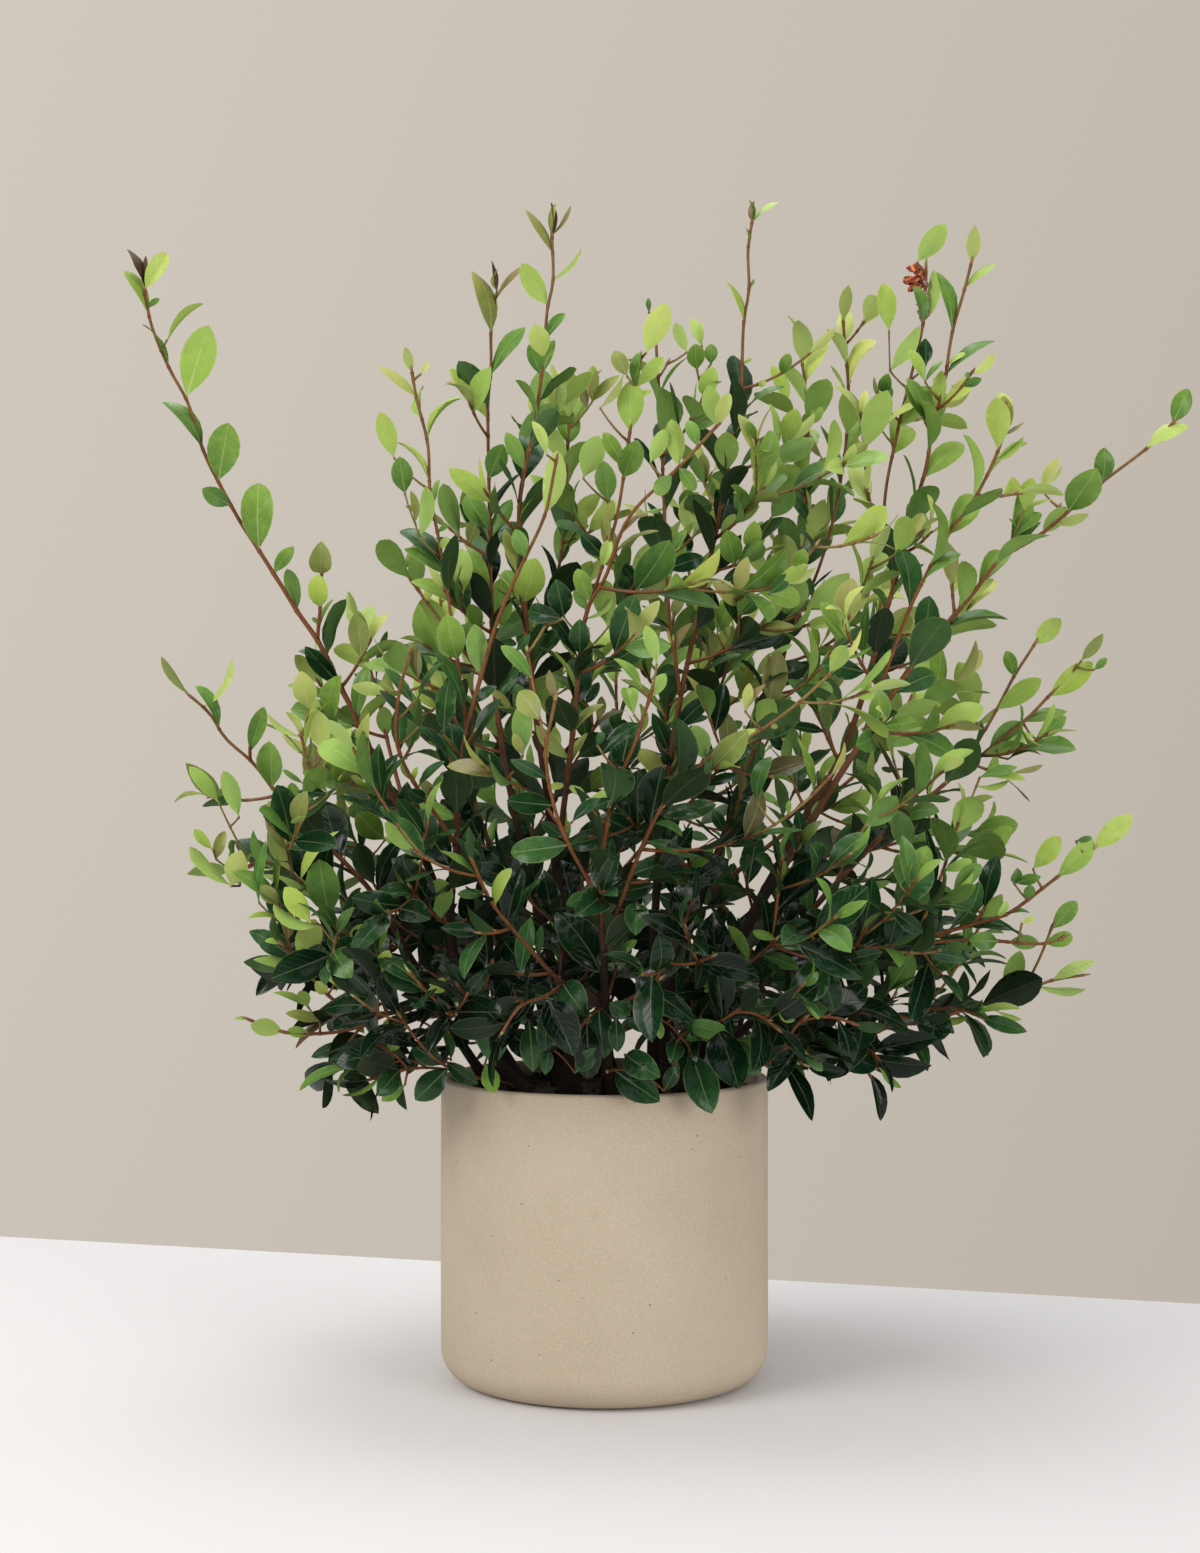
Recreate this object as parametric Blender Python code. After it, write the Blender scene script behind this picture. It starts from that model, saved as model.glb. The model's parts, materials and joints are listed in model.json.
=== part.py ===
"""A potted camellia: a round stoneware planter, the soil that fills it, and fourteen leafy stems.

Metres, +Z up. The origin is the centre of the planter's flat base, on the ground, and the plant's
front faces -Y. Each stem is one solid: its wood, its side shoots and its leaves, fused. The stems'
routes were read by eye in a front view, as (across, down) in pixels of a 1200 x 1553 frame, and
seen() puts such a point at its real place for a chosen depth. The rest of the twigs grow by rule.
"""

import math

import bmesh
import bpy
import numpy as np
from mathutils.bvhtree import BVHTree

# Planter and soil
POT_RADIUS = 0.150
POT_HEIGHT = 0.276
POT_WALL = 0.0085
POT_FLOOR = 0.014
POT_SIDES = 40
FOOT_ROUND = 0.029
LIP_ROUND = 0.0032
INNER_ROUND = 0.012
FIT_GAP = 0.0003
SOIL_TOP = POT_HEIGHT - 0.013
SOIL_RELIEF = 0.0025
SOIL_RING = 0.075
SOIL_FALL = 0.001
SOIL_WAVES = (61.0, 53.0)
ROOT_DEPTH = 0.060
HOLE_SIDES = 6

# Wood
STEM_TIP_RADIUS = 0.0014
SHOOT_RADIUS = 0.0016
SHOOT_TIP_RADIUS = 0.0012
LEADER_TAPER = 1.4
SHOOT_TAPER = 0.9
STEM_SIDES = 5
STEM_STEP = 0.12
NET_STEP = 0.008
FLAT_ANGLE = math.radians(2.0)
CLEARANCE = 0.0022
POT_MARGIN = 0.006
BEND_STEPS = 16
STEM_SPREAD = 0.85

# How shoots grow: how far from the wood, how far apart, and how straight on from their parent
TIP_REACH = 0.24
CROWN_REACH = 0.20
NEAREST_TARGET = 0.030
LEAST_AHEAD = 0.25
LEAST_FORWARD = 0.15
LAST_SHARE = 0.93
STRAY_COST = 0.7
SHARP_TURN = 0.5
SHARP_COST = 0.03
PARENT_SHARE = 0.9
PLACES_TRIED = slice(0, 40, 4)
BENDS = (0.0, 0.12, -0.12, 0.25, -0.25)
DROOP_BELOW = 0.345
DROOP = 0.22
UPTURN = -0.13
RISE_ABOVE = 0.40
OUTWARD_GROWTH = 0.7
UPWARD_GROWTH = 0.8
LOW_UPWARD_GROWTH = 0.15

# Leaves
BLADE_THICKNESS = 0.0007
BLADE_STATIONS = ((0.30, 0.47), (0.70, 0.47))
BLADE_DROP = 0.12
TWIG_FATNESS = 1.15
ROOT_HALF = 0.0013
MOST_BOW = 0.0012
ROOT_SINK = 0.0015
BUD_LENGTH = 0.006
LEAF_LENGTH = 0.056
LEAF_WIDTH = 0.0300
TIP_LEAF = 0.026
LEAFY_LENGTH = 0.42
LEAST_BARE = 0.10
SHOOT_BARE = 0.22
LEADER_PITCH = 0.024
SHOOT_PITCH = 0.0155
LEAF_MARGIN = 0.001
BARE_BEFORE_LEAF = 0.012
TRY_TURNS = (0.0, 0.5, -0.5, 1.0, -1.0)
TRY_SEAT = 0.004
TRY_NECK = 0.05
TRY_SKIN = 0.0004
WOOD_TRY_STEP = 0.030
WOOD_TRY_SKIN = 0.0012

# How leaves stand: angles from the twig in degrees, and shares of length or of the light's pull
LOW_LEAVES = 0.50
LOW_LEAVES_SPAN = 0.20
TIP_ANGLE = 15.0
LEAF_ANGLE = 31.0
ANGLE_DRAW = 19.0
LOW_ANGLE = 21.0
LEAF_LIFT = 0.16
LOW_DROOP = 0.40
LEAST_OUTWARD = 0.34
LIGHT_OUTWARD = 0.55
LIGHT_UPWARD = 0.45
LOW_LIGHT_UPWARD = 0.4
LIGHT_DRAW = 0.9
LIGHT_INWARD = 0.4
ROLL_SHARE = 0.95
YOUNG_RANKS = 1.4
YOUNG_SHORTER = 0.36
YOUNG_NARROWER = 0.30
LOW_LONGER = 0.20
GOLDEN_ANGLE = math.radians(137.5)
UP = np.array([0.0, 0.0, 1.0])

# The front view: a level eye before the planter, its focal length and centre in pixels
EYE = np.array([-0.004, -2.35, 0.551])
FOCAL_PIXELS = 2554.0
VIEW_MIDDLE = np.array([600.0, 776.5])

# Half-widths of the dense crown at each height: to the left, to the right, and to front and back
CROWN_HEIGHT = (0.29, 0.40, 0.50, 0.60, 0.70, 0.80, 0.88)
CROWN_LEFT = (0.24, 0.32, 0.34, 0.30, 0.22, 0.15, 0.05)
CROWN_RIGHT = (0.26, 0.37, 0.37, 0.37, 0.35, 0.33, 0.27)
CROWN_DEPTH = (0.22, 0.31, 0.35, 0.34, 0.30, 0.24, 0.14)
CROWN_SHOOTS = 46
LEADER_SKIP = 3
SHOOT_SKIP = 4
LEADER_PAIRS = 4
SHOOT_PAIRS = 2

# Each stem: name, place of its root hole, radius at the soil, then its routes from the base out.
# A route is its depth at the tip and the points that it passes. The first is the main stem.
STEMS = (
    ("stem_left_low", (-0.104, -0.030), 0.0048, (
        (-0.04, ((440, 1010), (412, 960), (370, 890), (316, 835), (279, 796), (253, 763), (226, 739),
                 (210, 714), (190, 696))),
        (-0.10, ((424, 985), (399, 975), (362, 948), (329, 915), (293, 875), (262, 862), (236, 872))),
        (-0.12, ((432, 1000), (400, 1012), (362, 1012), (336, 1002), (306, 971), (283, 945))),
        (-0.06, ((390, 1012), (349, 1030), (300, 1034), (276, 1030), (250, 1020))),
    )),
    ("stem_left_long", (-0.078, 0.010), 0.0058, (
        (-0.05, ((462, 980), (440, 900), (412, 830), (379, 772), (362, 729), (342, 690), (319, 643),
                 (299, 614), (279, 582), (260, 552), (241, 523), (220, 485), (203, 450), (188, 403),
                 (169, 368), (151, 324), (145, 290))),
        (-0.06, ((315, 640), (321, 595), (322, 548))),
        (0.06, ((412, 830), (392, 760), (376, 690), (358, 630))),
    )),
    ("stem_orange", (-0.075, -0.062), 0.0062, (
        (-0.14, ((478, 1030), (453, 948), (452, 882), (457, 842), (458, 786), (468, 726), (482, 673),
                 (496, 625), (515, 579), (544, 517), (556, 462))),
        (-0.05, ((468, 726), (449, 602), (439, 541), (430, 491), (428, 445), (417, 401), (412, 372))),
        (-0.20, ((457, 842), (402, 760), (398, 700), (410, 655))),
    )),
    ("stem_upright", (-0.040, 0.030), 0.0056, (
        (0.03, ((560, 1000), (535, 900), (508, 780), (495, 690), (491, 590), (490, 532), (489, 488),
                (488, 432), (488, 403), (491, 368), (491, 330), (495, 300))),
        (0.08, ((495, 690), (440, 620), (404, 570), (392, 548))),
    )),
    ("stem_centre", (-0.032, -0.052), 0.0068, (
        (-0.03, ((572, 1041), (568, 980), (560, 900), (548, 800), (534, 700), (524, 600), (519, 520),
                 (524, 473), (535, 423), (541, 379), (544, 356), (547, 312), (553, 280), (552, 236))),
        (-0.17, ((556, 870), (572, 740), (585, 620), (606, 576), (629, 517), (676, 470), (717, 426))),
        (-0.12, ((594, 600), (616, 520), (629, 438), (640, 360))),
    )),
    ("stem_thin", (0.045, -0.010), 0.0052, (
        (0.05, ((652, 991), (655, 915), (662, 820), (680, 700), (706, 580), (724, 490), (732, 444),
                (741, 403), (742, 362), (744, 321), (749, 288), (748, 250), (752, 222))),
        (-0.02, ((680, 700), (668, 600), (664, 500), (660, 410), (655, 325))),
    )),
    ("stem_right_tall", (0.078, 0.030), 0.0060, (
        (0.00, ((722, 1000), (745, 930), (770, 881), (800, 825), (843, 752), (872, 664), (893, 588),
                (905, 545), (915, 505), (925, 472), (934, 422), (945, 379), (952, 333), (962, 299),
                (971, 264))),
        (0.05, ((893, 588), (884, 510), (900, 420), (922, 330), (926, 266))),
    )),
    ("stem_right_long", (0.070, -0.055), 0.0060, (
        (-0.10, ((705, 1010), (735, 950), (772, 885), (812, 820), (862, 740), (912, 666), (969, 598),
                 (1002, 558), (1043, 533), (1095, 488), (1151, 445), (1172, 424))),
        (-0.16, ((862, 740), (905, 620), (945, 540), (977, 495), (1002, 440), (1006, 408))),
    )),
    ("stem_right_middle", (0.108, 0.004), 0.0050, (
        (-0.02, ((748, 1000), (800, 925), (868, 850), (925, 800), (979, 757), (1021, 724), (1046, 699),
                 (1072, 672))),
        (0.06, ((945, 785), (985, 730), (1012, 680), (1034, 645))),
        (0.12, ((868, 850), (930, 835), (985, 832))),
    )),
    ("stem_right_low", (0.098, -0.046), 0.0048, (
        (-0.07, ((735, 1040), (775, 1004), (825, 975), (896, 946), (986, 921), (1014, 910), (1052, 881),
                 (1092, 850))),
        (-0.12, ((896, 946), (971, 940), (1039, 944), (1062, 938))),
        (0.02, ((790, 998), (860, 1012), (929, 1018), (964, 1010), (1004, 999), (1050, 981),
                (1084, 975))),
    )),
    ("stem_front", (0.004, -0.104), 0.0056, (
        (-0.27, ((606, 1040), (604, 960), (600, 880), (612, 800), (636, 740), (652, 690))),
        (-0.23, ((604, 960), (629, 880), (662, 806), (700, 765), (736, 738))),
        (-0.29, ((600, 900), (562, 830), (546, 760), (555, 700))),
        (-0.22, ((606, 1010), (560, 981), (518, 935), (490, 900), (472, 860))),
    )),
    ("stem_back_left", (-0.050, 0.094), 0.0058, (
        (0.26, ((540, 1000), (510, 900), (470, 790), (446, 690), (440, 590))),
        (0.31, ((510, 900), (430, 840), (365, 790), (330, 730))),
        (0.18, ((470, 790), (530, 680), (560, 560), (568, 440), (572, 380))),
    )),
    ("stem_back_right", (0.056, 0.090), 0.0060, (
        (0.17, ((668, 1000), (700, 900), (745, 780), (785, 650), (804, 520), (808, 420), (800, 345))),
        (0.27, ((700, 900), (800, 820), (880, 750), (930, 660))),
        (0.10, ((785, 650), (828, 540), (848, 420), (843, 320))),
        (0.30, ((745, 780), (710, 680), (690, 580), (686, 500))),
    )),
    ("stem_back", (0.004, 0.118), 0.0052, (
        (0.36, ((606, 990), (612, 880), (622, 780), (616, 690), (622, 610))),
        (0.33, ((610, 900), (556, 850), (500, 810), (470, 760))),
        (0.33, ((612, 880), (670, 820), (740, 780), (780, 720))),
    )),
)

# Tips of side shoots that show round the plant's outline: across, down, and the depth given to them
OUTLINE_TIPS = (
    (165, 664, -0.02), (228, 664, -0.08), (192, 775, -0.02), (200, 848, -0.06), (268, 822, -0.14),
    (243, 1020, -0.02), (262, 962, -0.04), (300, 1078, -0.05), (346, 1074, -0.12), (303, 690, -0.10),
    (350, 622, -0.02), (412, 650, -0.22), (388, 425, -0.02), (392, 552, 0.10), (452, 385, 0.00),
    (566, 378, 0.14), (612, 388, -0.16), (655, 318, -0.04), (692, 326, 0.02), (718, 372, -0.10),
    (792, 362, 0.15), (826, 334, 0.06), (843, 314, 0.12), (886, 292, 0.08), (990, 352, -0.04),
    (962, 384, 0.10), (1050, 466, -0.14), (1078, 486, -0.04), (1048, 628, 0.04), (1096, 642, -0.04),
    (1066, 712, -0.10), (1028, 752, 0.02), (978, 800, -0.12), (1010, 832, 0.04), (1070, 908, -0.02),
    (1090, 966, 0.00), (1010, 1012, -0.08), (896, 1066, -0.08), (828, 1060, -0.16), (447, 1088, -0.15),
    (497, 1078, -0.19), (607, 1078, -0.20), (662, 1082, -0.20), (706, 1090, -0.19), (790, 1062, -0.15),
    (520, 620, -0.24), (745, 690, -0.24), (700, 560, -0.18), (610, 470, -0.10), (560, 560, -0.22),
    (800, 560, -0.18), (860, 600, -0.20), (780, 470, -0.02), (470, 470, -0.08), (360, 700, -0.16),
)


def remove_old_objects():
    for old in list(bpy.data.objects):
        bpy.data.objects.remove(old, do_unlink=True)


def seen(across, down, depth):
    """The real place of a point of the front view, for a depth along +Y."""
    reach = (depth - EYE[1]) / FOCAL_PIXELS
    x = EYE[0] + (across - VIEW_MIDDLE[0]) * reach
    z = EYE[2] - (down - VIEW_MIDDLE[1]) * reach
    return np.array([x, depth, z])


def unit(vectors):
    return vectors / np.linalg.norm(vectors, axis=-1, keepdims=True)


def arc_length(path):
    """The distance along a polyline at each of its points."""
    return np.concatenate([[0.0], np.cumsum(np.linalg.norm(np.diff(path, axis=0), axis=1))])


def even_steps(path, step):
    """The polyline's points again, at even steps close to the one asked for."""
    along = arc_length(path)
    count = max(2, int(round(along[-1] / step)) + 1)
    places = np.linspace(0.0, along[-1], count)
    return np.stack([np.interp(places, along, path[:, k]) for k in range(3)], axis=1)


def smooth_curve(points, step):
    """A Catmull-Rom curve through the points, at even steps."""
    points = np.asarray(points, float)
    before = 2 * points[0] - points[1]
    after = 2 * points[-1] - points[-2]
    p = np.vstack([before, points, after])
    t = np.linspace(0.0, 1.0, 12, endpoint=False)[:, None]
    pieces = []
    for k in range(1, len(p) - 2):
        a, b, c, d = p[k - 1 : k + 3]
        bend = 2 * a - 5 * b + 4 * c - d
        pieces.append(0.5 * (2 * b + (c - a) * t + bend * t**2 + (3 * b - a - 3 * c + d) * t**3))
    pieces.append(p[-2][None])
    return even_steps(np.vstack(pieces), step)


def tangents(path):
    return unit(np.gradient(path, axis=0))


def halton(index, base):
    """The index-th term of the even Halton sequence in this base."""
    value, share = 0.0, 1.0 / base
    while index:
        value += share * (index % base)
        index //= base
        share /= base
    return value


def in_crown(point, margin=1.0):
    """True inside the dense crown, whose half-widths change with height."""
    x, y, z = point
    if not CROWN_HEIGHT[0] <= z <= CROWN_HEIGHT[-1]:
        return False
    side = np.interp(z, CROWN_HEIGHT, CROWN_LEFT if x < 0 else CROWN_RIGHT) * margin
    deep = np.interp(z, CROWN_HEIGHT, CROWN_DEPTH) * margin
    return (x / side) ** 2 + (y / deep) ** 2 < 1.0


def crown_points(first, count):
    """Even points in the crown, thinner near its shaded axis: entries first to first + count."""
    found = []
    index = 1
    low = np.array([-CROWN_LEFT[2], -CROWN_DEPTH[2], CROWN_HEIGHT[0]])
    high = np.array([CROWN_RIGHT[2], CROWN_DEPTH[2], CROWN_HEIGHT[-1]])
    while len(found) < first + count:
        place = low + (high - low) * [halton(index, 2), halton(index, 3), halton(index, 5)]
        inner = in_crown(place, 2.4) and math.hypot(place[0], place[1]) < 0.11
        if in_crown(place) and not (inner and index % 3):
            found.append(place)
        index += 1
    return found[first:]


class Branch:
    """One length of wood: its stem's number, its path, and its radius along the path."""

    def __init__(self, stem, path, radius, tip_radius, leader=False, main=False):
        self.stem = stem
        self.path = path
        self.along = arc_length(path)
        share = self.along / self.along[-1]
        taper = LEADER_TAPER if leader else SHOOT_TAPER
        self.radii = tip_radius + (radius - tip_radius) * (1.0 - share) ** taper
        self.leader = leader
        self.main = main


def hand_read_branches():
    """The stems' own routes. Each further route starts on the nearest point of an earlier one."""
    branches = []
    for number, (name, root, radius, routes) in enumerate(STEMS):
        wood = []
        for tip_depth, route in routes:
            first = not wood
            if first:
                start = np.array([root[0], root[1], SOIL_TOP + 0.006])
                base_radius = radius
            else:
                known = np.vstack([b.path for b in wood])
                thick = np.concatenate([b.radii for b in wood])
                guess = np.array([seen(*route[0], point[1]) for point in known])
                nearest = int(np.argmin(np.linalg.norm((known - guess)[:, [0, 2]], axis=1)))
                start = known[nearest]
                base_radius = max(STEM_TIP_RADIUS * 1.15, 0.72 * thick[nearest])
                route = route[1:]
            flat = np.array([seen(*p, start[1]) for p in route])
            flat = np.vstack([start, flat])
            share = arc_length(flat)
            share = share[1:] / share[-1]
            depths = start[1] + (tip_depth - start[1]) * share**STEM_SPREAD
            places = [seen(*p, depth) for p, depth in zip(route, depths)]
            path = smooth_curve([start] + places, NET_STEP)
            wood.append(Branch(number, path, base_radius, STEM_TIP_RADIUS, True, first))
        branches += wood
    return branches


def bent_path(start, end, sideways):
    """A shoot's curve: low shoots droop at the tip, the others turn up."""
    chord = end - start
    length = np.linalg.norm(chord)
    lift = DROOP if end[2] < DROOP_BELOW else UPTURN
    middle = start + 0.5 * chord + UP * lift * length + sideways
    t = np.linspace(0.0, 1.0, BEND_STEPS)[:, None]
    return even_steps((1 - t) ** 2 * start + 2 * t * (1 - t) * middle + t**2 * end, NET_STEP)


def clear_of_others(path, radius, stem, net):
    """True if the path keeps its distance from the wood of every other stem."""
    others = net["stem"] != stem
    gaps = np.linalg.norm(path[:, None] - net["point"][others][None], axis=2)
    return bool((gaps > radius + net["radius"][others][None] + CLEARANCE + 0.25 * NET_STEP).all())


def clear_of_pot(path, margin):
    """True if no point of the path is in the planter's wall or the soil."""
    out = np.linalg.norm(path[:, :2], axis=1)
    low = path[:, 2] < POT_HEIGHT + margin
    buried = path[:, 2] < SOIL_TOP + margin
    in_wall = (out > POT_RADIUS - POT_WALL - margin) & (out < POT_RADIUS + margin)
    return not ((low & in_wall) | (buried & (out < POT_RADIUS))).any()


def network_of(branches):
    """All the wood's points in one table."""
    return {
        "point": np.vstack([b.path for b in branches]),
        "tangent": np.vstack([tangents(b.path) for b in branches]),
        "radius": np.concatenate([b.radii for b in branches]),
        "share": np.concatenate([b.along / b.along[-1] for b in branches]),
        "stem": np.concatenate([np.full(len(b.path), b.stem) for b in branches]),
    }


def growth_at(place):
    """The way that shoots grow there: up and outwards, and mostly outwards where they are low."""
    outward = unit(np.array([place[0], place[1], 0.0]) + 1e-6)
    upward = UPWARD_GROWTH if place[2] > RISE_ABOVE else LOW_UPWARD_GROWTH
    return unit(OUTWARD_GROWTH * outward + upward * UP)


def grow_shoots(branches, targets, reach):
    """Grows a shoot to each target from the best place on the wood so far, nearest targets first.

    A shoot leaves its parent forwards and heads up and outwards. Where it would cross another
    stem's wood it is bent to one side, and it is left out if no bend is clear.
    """
    net = network_of(branches)
    heart = np.array([0.0, 0.0, SOIL_TOP])
    for target in sorted(targets, key=lambda p: float(np.linalg.norm(p - heart))):
        growth = growth_at(target)
        gap = target - net["point"]
        distance = np.linalg.norm(gap, axis=1)
        if distance.min() < NEAREST_TARGET:
            continue
        ahead = np.einsum("ij,j->i", gap, growth) / distance
        forward = np.einsum("ij,ij->i", gap, net["tangent"]) / distance
        usable = (ahead > LEAST_AHEAD) & (forward > LEAST_FORWARD)
        usable &= (distance < reach) & (net["share"] < LAST_SHARE)
        cost = distance * (1 + STRAY_COST * (1 - ahead)) + SHARP_COST * (forward < SHARP_TURN)
        cost = np.where(usable, cost, np.inf)
        for index in np.argsort(cost)[PLACES_TRIED]:
            if not np.isfinite(cost[index]):
                break
            start = net["point"][index]
            side = unit(np.cross(target - start, UP))
            bends = [side * distance[index] * k for k in BENDS]
            radius = min(SHOOT_RADIUS, PARENT_SHARE * net["radius"][index])
            stem = net["stem"][index]
            made = None
            for bend in bends:
                path = bent_path(start, target, bend)
                if clear_of_pot(path, POT_MARGIN) and clear_of_others(path[1:], radius, stem, net):
                    made = Branch(stem, path, radius, SHOOT_TIP_RADIUS)
                    break
            if made is not None:
                branches.append(made)
                net = network_of(branches)
                break
    return branches


def frames_along(path):
    """Two cross directions at each point of a path, carried on without twist."""
    line = tangents(path)
    first = np.empty_like(path)
    across = unit(np.cross(line[0], [0.31, 0.95, 0.07]))
    for k, direction in enumerate(line):
        across = unit(across - direction * np.dot(across, direction))
        first[k] = across
    return line, first, np.cross(line, first)


def at_places(branch, table, places):
    """A per-point table of a branch, read at distances along it."""
    return np.stack([np.interp(places, branch.along, table[:, k]) for k in range(3)], axis=1)


def leaf_seats(branch, seed):
    """Where the leaves of a branch sit, tip first: distances, frames, angles and random draws.

    They are alternate: each is turned on from the one before by the golden angle.
    """
    total = branch.along[-1]
    bare = max(LEAST_BARE, total - LEAFY_LENGTH) if branch.leader else SHOOT_BARE * total
    pitch = LEADER_PITCH if branch.leader else SHOOT_PITCH
    count = max(3, int((total - bare) / pitch) + 1)
    draw = np.random.default_rng(seed).random((count, 8))
    places = total - (total - bare) * (np.arange(count) / count) ** 1.05
    places = np.clip(places + 0.3 * pitch * (draw[:, 0] - 0.5), 0.004, total)
    line, first, second = (unit(at_places(branch, t, places)) for t in frames_along(branch.path))
    angle = GOLDEN_ANGLE * np.arange(count) + 2 * math.pi * draw[0, 1] + 0.5 * (draw[:, 1] - 0.5)
    return places, at_places(branch, branch.path, places), line, first, second, angle, draw


def leaf_poses(root, line, first, second, angle, draw, rank):
    """Directions, upper sides, lengths and widths of leaves. rank counts them from the tip.

    Leaves near the tip are smaller and more upright, low ones droop. The upper side turns from
    the twig's tip towards the light, up and away from the plant's axis, as far as the twig allows.
    """
    radial = first * np.cos(angle)[:, None] + second * np.sin(angle)[:, None]
    low = np.clip((LOW_LEAVES - root[:, 2]) / LOW_LEAVES_SPAN, 0.0, 1.0)
    spread = LEAF_ANGLE + ANGLE_DRAW * draw[:, 2] + LOW_ANGLE * low
    spread = np.radians(np.where(rank == 0, TIP_ANGLE, spread))
    away = line * np.cos(spread)[:, None] + radial * np.sin(spread)[:, None]
    direction = unit(away + UP * np.where(rank == 0, 0.0, LEAF_LIFT - LOW_DROOP * low)[:, None])
    outward = np.einsum("ij,ij->i", direction, radial)
    direction = unit(direction + radial * np.maximum(0.0, LEAST_OUTWARD - outward)[:, None])
    inner = line - np.einsum("ij,ij->i", line, direction)[:, None] * direction
    inner = unit(inner + 1e-6)
    beside = np.cross(direction, inner)
    axis_out = unit(root * [1.0, 1.0, 0.0] + 1e-6)
    light = LIGHT_OUTWARD * axis_out + (LIGHT_UPWARD + LOW_LIGHT_UPWARD * low)[:, None] * UP
    light += LIGHT_DRAW * (draw[:, 3:6] - 0.5) + LIGHT_INWARD * inner
    roll = np.arctan2(np.einsum("ij,ij->i", light, beside), np.einsum("ij,ij->i", light, inner))
    outward = np.einsum("ij,ij->i", direction, radial)
    limit = np.arcsin(np.clip(ROLL_SHARE * outward, 0.1, 0.80))
    roll = np.clip(roll, -limit, limit)
    face = inner * np.cos(roll)[:, None] + beside * np.sin(roll)[:, None]
    young = np.exp(-rank / YOUNG_RANKS)
    size = (0.80 + 0.36 * draw[:, 6]) * (1.0 - YOUNG_SHORTER * young) * (1.0 + LOW_LONGER * low)
    length = LEAF_LENGTH * size
    width = LEAF_WIDTH * size * (0.90 + 0.25 * draw[:, 7]) * (1.0 - YOUNG_NARROWER * young)
    return direction, face, length, width


def blade_sections(seat, direction, face, length, width):
    """A blade's two widest sections, each as four corners, and its tip. It curves back to the tip."""
    side = np.cross(face, direction)
    sections = []
    for along, across in BLADE_STATIONS:
        middle = seat + direction * along * length - face * BLADE_DROP * length * along**2
        half = side * across * width
        depth = face * BLADE_THICKNESS
        sections.append([middle - half - depth, middle + half - depth, middle + half, middle - half])
    tip = seat + direction * length - face * BLADE_DROP * length
    return sections, tip


def strip(low, high):
    """Triangles between two rings of four corners, split alike on the upper and lower faces."""
    a, b, c, d = low
    e, f, g, h = high
    return [(a, b, e), (b, f, e), (b, c, g), (b, g, f), (c, d, h), (c, h, g), (d, a, e), (d, e, h)]


def matched(corners, section, direction):
    """The root's four corners, turned round until each lies nearest its own corner of the blade."""
    def flat(points):
        points = np.array(points) - np.mean(points, axis=0)
        return unit(points - np.outer(points @ direction, direction))

    root, end = flat(corners), flat(section)
    costs = [np.sum((np.roll(root, -k, axis=0) - end) ** 2) for k in range(4)]
    return int(np.argmin(costs))


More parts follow.
